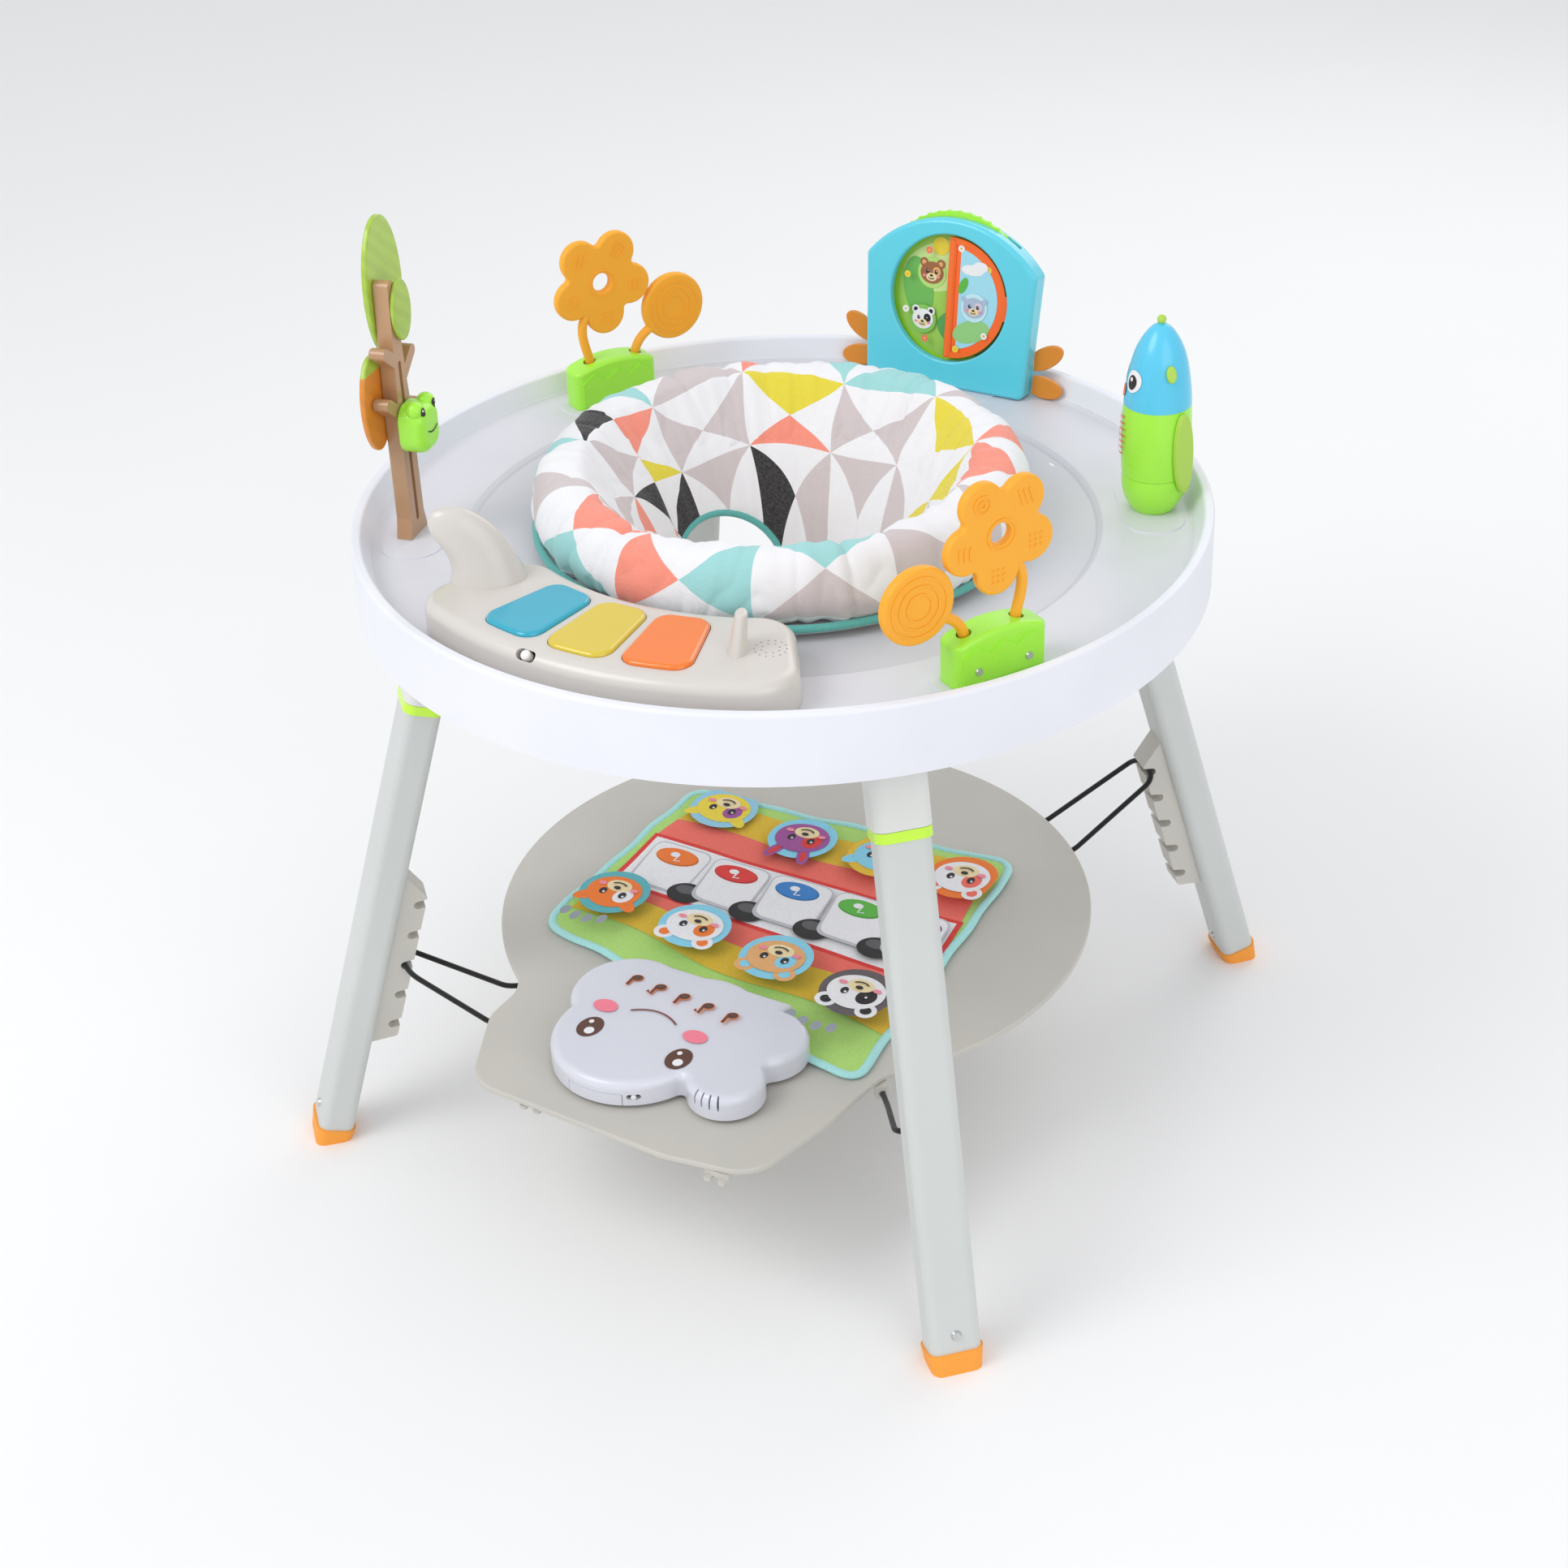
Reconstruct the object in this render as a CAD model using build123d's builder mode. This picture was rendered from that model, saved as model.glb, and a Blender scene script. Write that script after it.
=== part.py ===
from build123d import *
import os
from math import cos, degrees, radians, sin, tan

os.makedirs("parts", exist_ok=True)

# Activity jumper. Millimetres, +Z up, the origin on the floor under the tray's axis.
# The front (-Y) is the side with the piano and the toe of the footboard.

# ------------------------------------------------------------------ driving sizes
RIM_RADIUS = 380.0
RIM_HEIGHT = 602.0
SKIRT_DEPTH = 64.0
TRAY_FLOOR = 580.0
TRACK_FLOOR = 576.0
TRACK_RADIUS = 280.0
WALL = 3.0
SEAT_HOLE_RADIUS = 176.0
LIP_BOTTOM = 558.0

FOOT_RADIUS = 475.0
LEG_SPLAY = 0.30
LEG_WIDTH = 46.0
LEG_DEPTH = 34.0
LEG_CORNER = 9.0
LEG_WALL = 1.5
LEG_FIT = 0.1
LEG_AZIMUTHS = {"front_left": -135, "front_right": -45, "back_right": 45, "back_left": 135}
CAP_HEIGHT = 16.0
TUBE_LENGTH = 565.0
RING_ALONG = 474.5
RING_HEIGHT = 9.0
SOCKET_ALONG = 484.0
SOCKET_TOP = 577.0
BOLT_ALONG = 32.0

RAIL_BOTTOM = 115.0
RAIL_TOP = 300.0
RAIL_REACH = 41.0
RAIL_HALF = 13.0
NOTCH_FIRST = 140.0
NOTCH_PITCH = 33.5
NOTCH_COUNT = 5
NOTCH_WIDTH = 8.0
NOTCH_LENGTH = 24.0
NOTCH_SLANT = 24.0
NOTCH_SEAT = 33.7

BOARD_TOP = 170.0
BOARD_THICK = 6.0
BOARD_RADIUS = 287.0
TOE_LEFT = -155.0
TOE_RIGHT = 188.0
TOE_FRONT = -386.0
CORD_RADIUS = 2.6
CORD_BEND = 5.0
ANCHOR_HEIGHT = 156.0

CUSHION_INNER = 108.0
CUSHION_OUTER = 222.0
CUSHION_BOTTOM = 583.4
CUSHION_TOP = 656.0
SEAT_HEADING = -157.0
LEG_HOLE_SPREAD = 45.0
LEG_HOLE_RADIUS = 60.0
LEG_HOLE_HEIGHT = 508.0
SLING_RADIUS = 120.0

TOY_RADIUS = 330.0
PLATE_TOP = 581.0
TOY_BOTTOM = 581.2
TREE_AZIMUTH, BIRD_AZIMUTH, PICTURE_AZIMUTH = -150.0, 30.0, 90.0
TEETHER_AZIMUTHS = {"back": 150.0, "front": -30.0}


def polar(radius, azimuth, height=0.0):
    return Vector(radius * cos(radians(azimuth)), radius * sin(radians(azimuth)), height)


def leg_plane(azimuth, along=0.0):
    """Plane square to a leg, `along` up it from the floor; local Y points inwards."""
    axis = (polar(-LEG_SPLAY, azimuth) + Vector(0, 0, 1)).normalized()
    round_table = polar(1, azimuth + 90)
    return Plane(origin=polar(FOOT_RADIUS, azimuth) + axis * along, x_dir=round_table, z_dir=axis)


def leg_side_plane(azimuth):
    """Plane through a leg's axis: local X points inwards from it, local Y up along it."""
    square = leg_plane(azimuth)
    return Plane(origin=square.origin, x_dir=square.y_dir, z_dir=square.x_dir)


def toy_plane(azimuth, radius=TOY_RADIUS, height=TOY_BOTTOM, turn=0.0, lean=0.0):
    """Upright plane that faces the table's middle; local X is right, local Y is up."""
    facing = azimuth + turn
    normal = polar(-cos(radians(lean)), facing) + Vector(0, 0, sin(radians(lean)))
    return Plane(origin=polar(radius, azimuth, height), x_dir=polar(1, facing - 90), z_dir=normal)


def save(builder, label):
    builder.part.label = label
    export_step(builder.part, f"parts/{label}.step")


# ------------------------------------------------------------------ tray and its rings
with BuildPart() as tray_shell:
    with BuildSketch(Plane.XZ) as tray_profile:
        with BuildLine():
            Polyline(
                (RIM_RADIUS + 0.5, RIM_HEIGHT - SKIRT_DEPTH),
                (RIM_RADIUS, RIM_HEIGHT),
                (RIM_RADIUS - 9, RIM_HEIGHT),
                (RIM_RADIUS - 17, TRAY_FLOOR),
                (TRACK_RADIUS + 4, TRAY_FLOOR),
                (TRACK_RADIUS - 2, TRACK_FLOOR),
                (SEAT_HOLE_RADIUS, TRACK_FLOOR),
                (SEAT_HOLE_RADIUS, LIP_BOTTOM),
                (SEAT_HOLE_RADIUS + WALL, LIP_BOTTOM),
                (SEAT_HOLE_RADIUS + WALL, TRACK_FLOOR - WALL),
                (TRACK_RADIUS - 3.4, TRACK_FLOOR - WALL),
                (TRACK_RADIUS + 2.6, TRAY_FLOOR - WALL),
                (RIM_RADIUS - 14.8, TRAY_FLOOR - WALL),
                (RIM_RADIUS - 6.9, RIM_HEIGHT - WALL),
                (RIM_RADIUS - WALL, RIM_HEIGHT - WALL),
                (RIM_RADIUS + 0.5 - WALL, RIM_HEIGHT - SKIRT_DEPTH),
                close=True,
            )
        make_face()
        rim_corners = tray_profile.vertices().group_by(Axis.Y)[-1]
        fillet(rim_corners, radius=3.2)
        floor_corner = tray_profile.vertices().sort_by_distance((RIM_RADIUS - 17, TRAY_FLOOR))[0]
        fillet(floor_corner, radius=6.0)
        lip_corner = tray_profile.vertices().sort_by_distance((SEAT_HOLE_RADIUS, TRACK_FLOOR))[0]
        fillet(lip_corner, radius=2.0)
        step_top = tray_profile.vertices().sort_by_distance((TRACK_RADIUS + 4, TRAY_FLOOR))[0]
        fillet(step_top, radius=2.5)
    revolve(axis=Axis.Z)
    for azimuth in (-67, 53, 173):
        slot_spot = polar(TRACK_RADIUS - 7, azimuth, TRACK_FLOOR)
        with BuildSketch(Plane(origin=slot_spot, x_dir=polar(1, azimuth + 90), z_dir=(0, 0, 1))):
            RectangleRounded(13, 5, 1.2)
        extrude(amount=-5, mode=Mode.SUBTRACT)
save(tray_shell, "tray_shell")

with BuildPart() as seat_bearing_ring:
    with BuildSketch(Plane.XY.offset(TRACK_FLOOR)):
        Circle(202)
        Circle(184, mode=Mode.SUBTRACT)
    extrude(amount=1.8)
    chamfer(seat_bearing_ring.edges().group_by(Axis.Z)[-1], 0.5)
save(seat_bearing_ring, "seat_bearing_ring")

with BuildPart() as toy_plates:
    for azimuth in (TREE_AZIMUTH, -30.0, BIRD_AZIMUTH, PICTURE_AZIMUTH, 150.0):
        plate_spot = polar(TOY_RADIUS - 3, azimuth, TRAY_FLOOR)
        plate_plane = Plane(origin=plate_spot, x_dir=polar(1, azimuth - 90), z_dir=(0, 0, 1))
        with BuildSketch(plate_plane):
            RectangleRounded(108, 54, 26)
        extrude(amount=PLATE_TOP - TRAY_FLOOR)
save(toy_plates, "toy_plates")

# ------------------------------------------------------------------ legs
for corner, azimuth in LEG_AZIMUTHS.items():
    rail_side = leg_side_plane(azimuth)
    with BuildPart() as leg_tube:
        with BuildSketch(leg_plane(azimuth, CAP_HEIGHT)):
            RectangleRounded(LEG_WIDTH, LEG_DEPTH, LEG_CORNER)
            RectangleRounded(
                LEG_WIDTH - 2 * LEG_WALL, LEG_DEPTH - 2 * LEG_WALL, LEG_CORNER - LEG_WALL, mode=Mode.SUBTRACT
            )
        extrude(amount=TUBE_LENGTH)
        with BuildSketch(Plane(origin=leg_plane(azimuth, BOLT_ALONG).origin, z_dir=rail_side.x_dir)):
            Circle(2.6)
        extrude(amount=LEG_DEPTH, both=True, mode=Mode.SUBTRACT)
    save(leg_tube, f"leg_tube_{corner}")

    with BuildPart() as hook_rail:
        with BuildSketch(rail_side) as rail_outline:
            with BuildLine():
                Polyline(
                    (LEG_DEPTH / 2 + 0.05, RAIL_BOTTOM),
                    (RAIL_REACH, RAIL_BOTTOM + 9),
                    (RAIL_REACH, RAIL_TOP - 20),
                    (LEG_DEPTH / 2 + 0.05, RAIL_TOP),
                    close=True,
                )
            make_face()
            fillet(rail_outline.vertices().sort_by(Axis.X)[-2:], radius=3)
            for number in range(NOTCH_COUNT):
                with Locations((RAIL_REACH, NOTCH_FIRST + NOTCH_PITCH * number)):
                    SlotOverall(NOTCH_LENGTH, NOTCH_WIDTH, rotation=NOTCH_SLANT, mode=Mode.SUBTRACT)
        extrude(amount=RAIL_HALF, both=True)
    save(hook_rail, f"hook_rail_{corner}")

with BuildPart() as leg_sockets:
    for azimuth in LEG_AZIMUTHS.values():
        flange_spot = polar(FOOT_RADIUS - LEG_SPLAY * SOCKET_TOP + 4, azimuth, SOCKET_TOP)
        with BuildSketch(leg_plane(azimuth, SOCKET_ALONG)):
            RectangleRounded(50, 37, 10.5)
        extrude(amount=130)
        with BuildSketch(Plane(origin=flange_spot, x_dir=polar(1, azimuth + 90), z_dir=(0, 0, 1))):
            RectangleRounded(84, 30, 6)
        extrude(amount=-4)
        with BuildSketch(leg_plane(azimuth, SOCKET_ALONG)):
            RectangleRounded(LEG_WIDTH + 2 * LEG_FIT, LEG_DEPTH + 2 * LEG_FIT, LEG_CORNER + LEG_FIT)
        extrude(amount=130, mode=Mode.SUBTRACT)
    split(bisect_by=Plane.XY.offset(SOCKET_TOP), keep=Keep.BOTTOM)
save(leg_sockets, "leg_sockets")

with BuildPart() as socket_screws:
    for azimuth in LEG_AZIMUTHS.values():
        for side in (-34, 34):
            spot = polar(FOOT_RADIUS - LEG_SPLAY * SOCKET_TOP + 4, azimuth) + polar(side, azimuth + 90)
            with BuildSketch(Plane.XY.offset(SOCKET_TOP - 4)):
                with Locations((spot.X, spot.Y)):
                    Circle(4.2)
            extrude(amount=-2.4, taper=18)
save(socket_screws, "socket_screws")

with BuildPart() as leg_trim_rings:
    for azimuth in LEG_AZIMUTHS.values():
        with BuildSketch(leg_plane(azimuth, RING_ALONG)):
            RectangleRounded(49.6, 36.8, 10.3)
            RectangleRounded(
                LEG_WIDTH + 2 * LEG_FIT, LEG_DEPTH + 2 * LEG_FIT, LEG_CORNER + LEG_FIT, mode=Mode.SUBTRACT
            )
        extrude(amount=RING_HEIGHT)
save(leg_trim_rings, "leg_trim_rings")

with BuildPart() as foot_caps:
    for azimuth in LEG_AZIMUTHS.values():
        with BuildSketch(leg_plane(azimuth, CAP_HEIGHT)):
            RectangleRounded(50, 38, 11)
        extrude(amount=-30, taper=7)
        with BuildSketch(leg_plane(azimuth, CAP_HEIGHT)):
            RectangleRounded(LEG_WIDTH - 3.2, LEG_DEPTH - 3.2, 7.4)
        extrude(amount=30)
        bolt_axis = leg_side_plane(azimuth).x_dir
        with BuildSketch(Plane(origin=leg_plane(azimuth, BOLT_ALONG).origin, z_dir=bolt_axis)):
            Circle(2.6)
        extrude(amount=LEG_DEPTH, both=True, mode=Mode.SUBTRACT)
    split(bisect_by=Plane.XY, keep=Keep.TOP)
save(foot_caps, "foot_caps")

with BuildPart() as foot_bolts:
    for azimuth in LEG_AZIMUTHS.values():
        through = Plane(origin=leg_plane(azimuth, BOLT_ALONG).origin, z_dir=leg_side_plane(azimuth).x_dir)
        with BuildSketch(through):
            Circle(2.5)
        extrude(amount=LEG_DEPTH / 2, both=True)
        for way in (-1, 1):
            with BuildSketch(through.offset(way * LEG_DEPTH / 2)):
                Circle(4.8)
            extrude(amount=way * 2.4, taper=28)
save(foot_bolts, "foot_bolts")

# ------------------------------------------------------------------ footboard
# Where each cord pair ties on under the board's edge: (azimuth, radius to the lug).
ANCHORS = {
    "front_left": ((-127.0, 276.0), (-118.5, 312.0)),
    "front_right": ((-46.0, 292.0), (-39.0, 292.0)),
    "back_right": ((46.5, 273.0), (58.5, 273.0)),
    "back_left": ((126.5, 273.0), (138.5, 273.0)),
}
HOOK_USED = {"front_left": 2, "front_right": 2, "back_right": 4, "back_left": 4}
LUG = (12.0, 9.0, 13.0)

with BuildPart() as footboard:
    with BuildSketch(Plane.XY.offset(BOARD_TOP - BOARD_THICK)) as board_outline:
        Circle(BOARD_RADIUS)
        with BuildLine():
            Polyline(
                (TOE_LEFT, -150), (TOE_LEFT - 6, -290), (TOE_LEFT + 34, TOE_FRONT + 8),
                (TOE_RIGHT - 105, TOE_FRONT), (TOE_RIGHT - 22, TOE_FRONT + 12), (TOE_RIGHT + 4, -280),
                (TOE_RIGHT + 22, -150), close=True,
            )
        make_face()
        toe_corners = board_outline.vertices().filter_by_position(Axis.Y, -400, -265)
        fillet(toe_corners, radius=40)
        necks = board_outline.vertices().filter_by_position(Axis.Y, -262, -160)
        fillet(necks, radius=40)
    extrude(amount=BOARD_THICK)
    board_top_edges = footboard.faces().sort_by(Axis.Z)[-1].edges()
    board_low_edges = footboard.faces().sort_by(Axis.Z)[0].edges()
    fillet(board_top_edges + board_low_edges, radius=1.8)
    # stiffening ribs under the board
    with BuildSketch(Plane.XY.offset(BOARD_TOP - BOARD_THICK)):
        for angle in (0, 45, 90, 135):
            Rectangle(440, 3, rotation=angle)
        Circle(120)
        Circle(117, mode=Mode.SUBTRACT)
    extrude(amount=-9)
    # lugs that take the cords
    for pair in ANCHORS.values():
        for azimuth, radius in pair:
            lug_plane = Plane(
                origin=polar(radius, azimuth, BOARD_TOP - BOARD_THICK),
                x_dir=polar(1, azimuth),
                z_dir=(0, 0, 1),
            )
            with BuildSketch(lug_plane):
                RectangleRounded(LUG[1], LUG[0], 1.5)
            extrude(amount=-LUG[2])
            with BuildSketch(Plane(origin=polar(radius, azimuth, ANCHOR_HEIGHT), z_dir=polar(1, azimuth))):
                Circle(CORD_RADIUS + 0.4)
            extrude(amount=12, both=True, mode=Mode.SUBTRACT)
    # snap tabs under the toe
    for tab_x, tab_y in ((-62, -366), (132, -374)):
        with BuildSketch(Plane.XY.offset(BOARD_TOP - BOARD_THICK)):
            with Locations((tab_x, tab_y)):
                RectangleRounded(24, 9, 2)
        extrude(amount=-6)
        with BuildSketch(Plane.XY.offset(BOARD_TOP - BOARD_THICK - 6)):
            with Locations((tab_x - 7, tab_y - 2), (tab_x + 7, tab_y - 2)):
                RectangleRounded(7, 13, 2)
        extrude(amount=-4)
save(footboard, "footboard")


def cord_points(corner):
    """The cord's route: knot, up to the hook, across it, and down to the other knot."""
    side = leg_side_plane(LEG_AZIMUTHS[corner])
    along = NOTCH_FIRST + NOTCH_PITCH * HOOK_USED[corner]
    drop = (RAIL_REACH - NOTCH_SEAT) * tan(radians(NOTCH_SLANT))
    azimuth = LEG_AZIMUTHS[corner]
    near_azimuth, near_radius = ANCHORS[corner][0]
    far_azimuth, far_radius = ANCHORS[corner][1]
    hook = side.from_local_coords(Vector(NOTCH_SEAT, along - drop - 1.1, 0))
    swing = RAIL_HALF + 8
    return [
        polar(near_radius - 9, near_azimuth, ANCHOR_HEIGHT),
        polar(near_radius + 16, near_azimuth, ANCHOR_HEIGHT),
        hook + polar(-swing, azimuth + 90),
        hook + polar(swing, azimuth + 90),
        polar(far_radius + 16, far_azimuth, ANCHOR_HEIGHT),
        polar(far_radius - 9, far_azimuth, ANCHOR_HEIGHT),
    ]


for corner in ANCHORS:
    points = cord_points(corner)
    with BuildPart() as elastic_cord:
        with BuildLine() as route:
            FilletPolyline(*points, radius=CORD_BEND)
        with BuildSketch(Plane(origin=points[0], z_dir=points[1] - points[0])):
            Circle(CORD_RADIUS)
        cord_run = route.wires()[0]
        sweep(path=cord_run)
        for knot in (points[0], points[-1]):
            with Locations(knot):
                Sphere(5.2)
    print(corner, "cord length", round(cord_run.length, 1), "bend radius", CORD_BEND)
    save(elastic_cord, f"elastic_cord_{corner}")

# ------------------------------------------------------------------ seat
with BuildPart() as seat_ring:
    with BuildSketch(Plane.XZ):
        with BuildLine():
            Polyline(
                (170, 554), (174, 554), (174, 580), (214, 580), (216, 581.5), (214, 583), (172, 583),
                (170, 581), close=True,
            )
        make_face()
    revolve(axis=Axis.Z)
save(seat_ring, "seat_ring")

with BuildPart() as seat_glides:
    for number in range(6):
        with BuildSketch(Plane.XY.offset(TRACK_FLOOR + 2.1)):
            with BuildLine():
                outer_arc = CenterArc((0, 0), 199, 60 * number - 9, 18)
                inner_arc = CenterArc((0, 0), 187, 60 * number - 9, 18)
                Line(outer_arc @ 0, inner_arc @ 0)
                Line(outer_arc @ 1, inner_arc @ 1)
            make_face()
        extrude(amount=580 - TRACK_FLOOR - 2.1)
save(seat_glides, "seat_glides")

with BuildPart() as seat_retainer_ring:
    with BuildSketch(Plane.XY.offset(554)):
        Circle(188)
        Circle(174.05, mode=Mode.SUBTRACT)
    extrude(amount=3)
    chamfer(seat_retainer_ring.edges().group_by(Axis.Z)[-1].sort_by(SortBy.RADIUS)[-1], 1)
save(seat_retainer_ring, "seat_retainer_ring")

with BuildPart() as seat_cushion:
    with BuildSketch(Plane.XZ):
        with Locations(((CUSHION_INNER + CUSHION_OUTER) / 2, (CUSHION_BOTTOM + CUSHION_TOP) / 2)):
            RectangleRounded(CUSHION_OUTER - CUSHION_INNER, CUSHION_TOP - CUSHION_BOTTOM, 33)
    revolve(axis=Axis.Z)
save(seat_cushion, "seat_cushion")

with BuildPart() as seat_sling:
    with BuildSketch(Plane.XZ):
        with BuildLine():
            outside = Spline((SLING_RADIUS, 582.5), (112, 540), (96, 480), (62, 434), (0, 420))
            inside = Spline((SLING_RADIUS - 3, 582.5), (109, 541), (93, 481.6), (60, 437.2), (0, 423.2))
            Line(outside @ 0, inside @ 0)
            Line(outside @ 1, inside @ 1)
        make_face()
    revolve(axis=Axis.Z)
    for side in (-1, 1):
        leg_way = SEAT_HEADING + side * LEG_HOLE_SPREAD
        with BuildSketch(Plane(origin=polar(40, leg_way, LEG_HOLE_HEIGHT), z_dir=polar(1, leg_way, -0.42))):
            Circle(LEG_HOLE_RADIUS)
        extrude(amount=120, mode=Mode.SUBTRACT)
save(seat_sling, "seat_sling")

# ------------------------------------------------------------------ piano
PIANO_OUTER, PIANO_INNER = 356.0, 238.0
PIANO_FROM, PIANO_TO = -120.5, -58.0
PIANO_BOTTOM, PIANO_TOP = 580.6, 613.6
KEY_AZIMUTHS = {"piano_key_blue": -102.0, "piano_key_yellow": -90.0, "piano_key_orange": -78.0}
KEY_INNER, KEY_OUTER = 254.0, 337.0
KEY_HALF_ANGLE = 5.2
KEY_TOP = 617.0


def ring_sector(inner, outer, start, end, corner):
    """Sketch of a piece of a flat ring with rounded corners."""
    with BuildSketch(mode=Mode.PRIVATE) as sector:
        with BuildLine():
            outer_arc = CenterArc((0, 0), outer, start, end - start)
            inner_arc = CenterArc((0, 0), inner, start, end - start)
            Line(outer_arc @ 0, inner_arc @ 0)
            Line(outer_arc @ 1, inner_arc @ 1)
        make_face()
        fillet(sector.vertices(), radius=corner)
    return sector.sketch


def key_shape(azimuth, grow=0.0):
    half = KEY_HALF_ANGLE + degrees(grow / 295)
    return ring_sector(KEY_INNER - grow, KEY_OUTER + grow, azimuth - half, azimuth + half, 15 + grow)


SWITCH_AZIMUTH = -95.5
switch_plane = Plane(
    origin=polar(PIANO_OUTER - 3.2, SWITCH_AZIMUTH, PIANO_TOP - 3.2),
    x_dir=polar(1, SWITCH_AZIMUTH + 90),
    z_dir=polar(1, SWITCH_AZIMUTH, 1),
)
TAIL_SPOT = polar(291, -117.5)
TAIL_LEAN = -148.0
# height over the cover, shift outwards, half width and half depth of the tail's sections
TAIL_SECTIONS = ((-6, 0, 34, 25), (8, 0, 30, 21), (30, 8, 28, 16), (50, 20, 25, 12), (60, 25, 17, 8), (64, 27, 9, 4))
FIN_SPOT = polar(298, -67.2)
SPEAKER_SPOT = polar(296, -62.2)

with BuildPart() as piano_cover:
    with BuildSketch(Plane.XY.offset(PIANO_BOTTOM)):
        add(ring_sector(PIANO_INNER, PIANO_OUTER, PIANO_FROM, PIANO_TO, 34))
    extrude(amount=PIANO_TOP - PIANO_BOTTOM)
    fillet(piano_cover.faces().sort_by(Axis.Z)[-1].edges(), radius=10)
    # the tail stands on the left end and leans outwards
    for rise, shift, half_width, half_depth in TAIL_SECTIONS:
        section_spot = TAIL_SPOT + polar(shift, TAIL_LEAN)
        with BuildSketch(Plane.XY.offset(PIANO_TOP + rise)):
            with Locations((section_spot.X, section_spot.Y)):
                Ellipse(half_width, half_depth, rotation=32)
    loft()
    fillet(piano_cover.edges().group_by(Axis.Z)[-1], radius=1.5)
    # the little back fin
    with BuildSketch(Plane.XY.offset(PIANO_TOP - 1)):
        with Locations((FIN_SPOT.X, FIN_SPOT.Y)):
            Ellipse(8, 15, rotation=24)
    with BuildSketch(Plane.XY.offset(PIANO_TOP + 32)):
        with Locations((FIN_SPOT.X + 2, FIN_SPOT.Y + 5)):
            Ellipse(5, 8, rotation=24)
    loft()
    fillet(piano_cover.edges().filter_by_position(Axis.Z, PIANO_TOP + 31.5, PIANO_TOP + 32.5), radius=2.5)
    # hollow inside, open underneath
    with BuildSketch(Plane.XY.offset(PIANO_BOTTOM)):
        add(ring_sector(PIANO_INNER + 3, PIANO_OUTER - 3, PIANO_FROM + 0.6, PIANO_TO - 0.6, 31))
    extrude(amount=PIANO_TOP - PIANO_BOTTOM - 10, mode=Mode.SUBTRACT)
    with BuildSketch(Plane.XY.offset(PIANO_TOP - 11)):
        add(ring_sector(PIANO_INNER + 9, PIANO_OUTER - 9, PIANO_FROM + 5, PIANO_TO - 3, 24))
    extrude(amount=8, mode=Mode.SUBTRACT)
    for azimuth in KEY_AZIMUTHS.values():
        with BuildSketch(Plane.XY.offset(PIANO_TOP - 12)):
            add(key_shape(azimuth, 0.5))
        extrude(amount=14, mode=Mode.SUBTRACT)
    with BuildSketch(switch_plane):
        SlotOverall(19, 9.4)
    extrude(amount=8, both=True, mode=Mode.SUBTRACT)
    # speaker holes
    with BuildSketch(Plane.XY.offset(PIANO_TOP - 6)):
        with Locations((SPEAKER_SPOT.X, SPEAKER_SPOT.Y)):
            with PolarLocations(13, 14):
                Circle(0.8)
            with PolarLocations(7.5, 8):
                Circle(0.8)
    extrude(amount=8, mode=Mode.SUBTRACT)
save(piano_cover, "piano_cover")

with BuildPart() as piano_base:
    base_shape = ring_sector(PIANO_INNER + 3.3, PIANO_OUTER - 3.3, PIANO_FROM + 0.7, PIANO_TO - 0.7, 30.7)
    with BuildSketch(Plane.XY.offset(TRAY_FLOOR + 0.3)):
        add(base_shape)
    extrude(amount=3)
    with BuildSketch(Plane.XY.offset(TRAY_FLOOR + 3.3)):
        for azimuth in (-112, -96, -84, -66):
            for radius in (258, 332):
                with Locations(tuple(polar(radius, azimuth))[:2]):
                    Circle(3)
    extrude(amount=8)
save(piano_base, "piano_base")

with BuildPart() as piano_circuit_board:
    with BuildSketch(Plane.XY.offset(TRAY_FLOOR + 11.3)):
        add(ring_sector(248, 342, -113, -65, 6))
    extrude(amount=1.6)
save(piano_circuit_board, "piano_circuit_board")

with BuildPart() as piano_contact_pads:
    for azimuth in KEY_AZIMUTHS.values():
        pad_spot = polar((KEY_INNER + KEY_OUTER) / 2, azimuth)
        with BuildSketch(Plane.XY.offset(TRAY_FLOOR + 12.9)):
            with Locations((pad_spot.X, pad_spot.Y)):
                Circle(11)
        extrude(amount=5, taper=25)
save(piano_contact_pads, "piano_contact_pads")

with BuildPart() as piano_speaker:
    with BuildSketch(Plane.XY.offset(TRAY_FLOOR + 12.9)):
        with Locations((SPEAKER_SPOT.X, SPEAKER_SPOT.Y)):
            Circle(15)
    extrude(amount=8)
    with BuildSketch(Plane.XY.offset(TRAY_FLOOR + 20.9)):
        with Locations((SPEAKER_SPOT.X, SPEAKER_SPOT.Y)):
            Circle(18)
    extrude(amount=2.4)
save(piano_speaker, "piano_speaker")

for key_name, azimuth in KEY_AZIMUTHS.items():
    with BuildPart() as piano_key:
        with BuildSketch(Plane.XY.offset(PIANO_TOP - 11.5)):
            add(key_shape(azimuth))
        extrude(amount=KEY_TOP - PIANO_TOP + 11.5)
        fillet(piano_key.faces().sort_by(Axis.Z)[-1].edges(), radius=3.4)
    save(piano_key, key_name)

with BuildPart() as piano_switch:
    with BuildSketch(switch_plane.offset(-5)):
        Circle(4.3)
    extrude(amount=7.6)
    fillet(piano_switch.faces().sort_by(Axis(switch_plane.origin, switch_plane.z_dir))[-1].edges(), radius=2.4)
save(piano_switch, "piano_switch")

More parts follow.
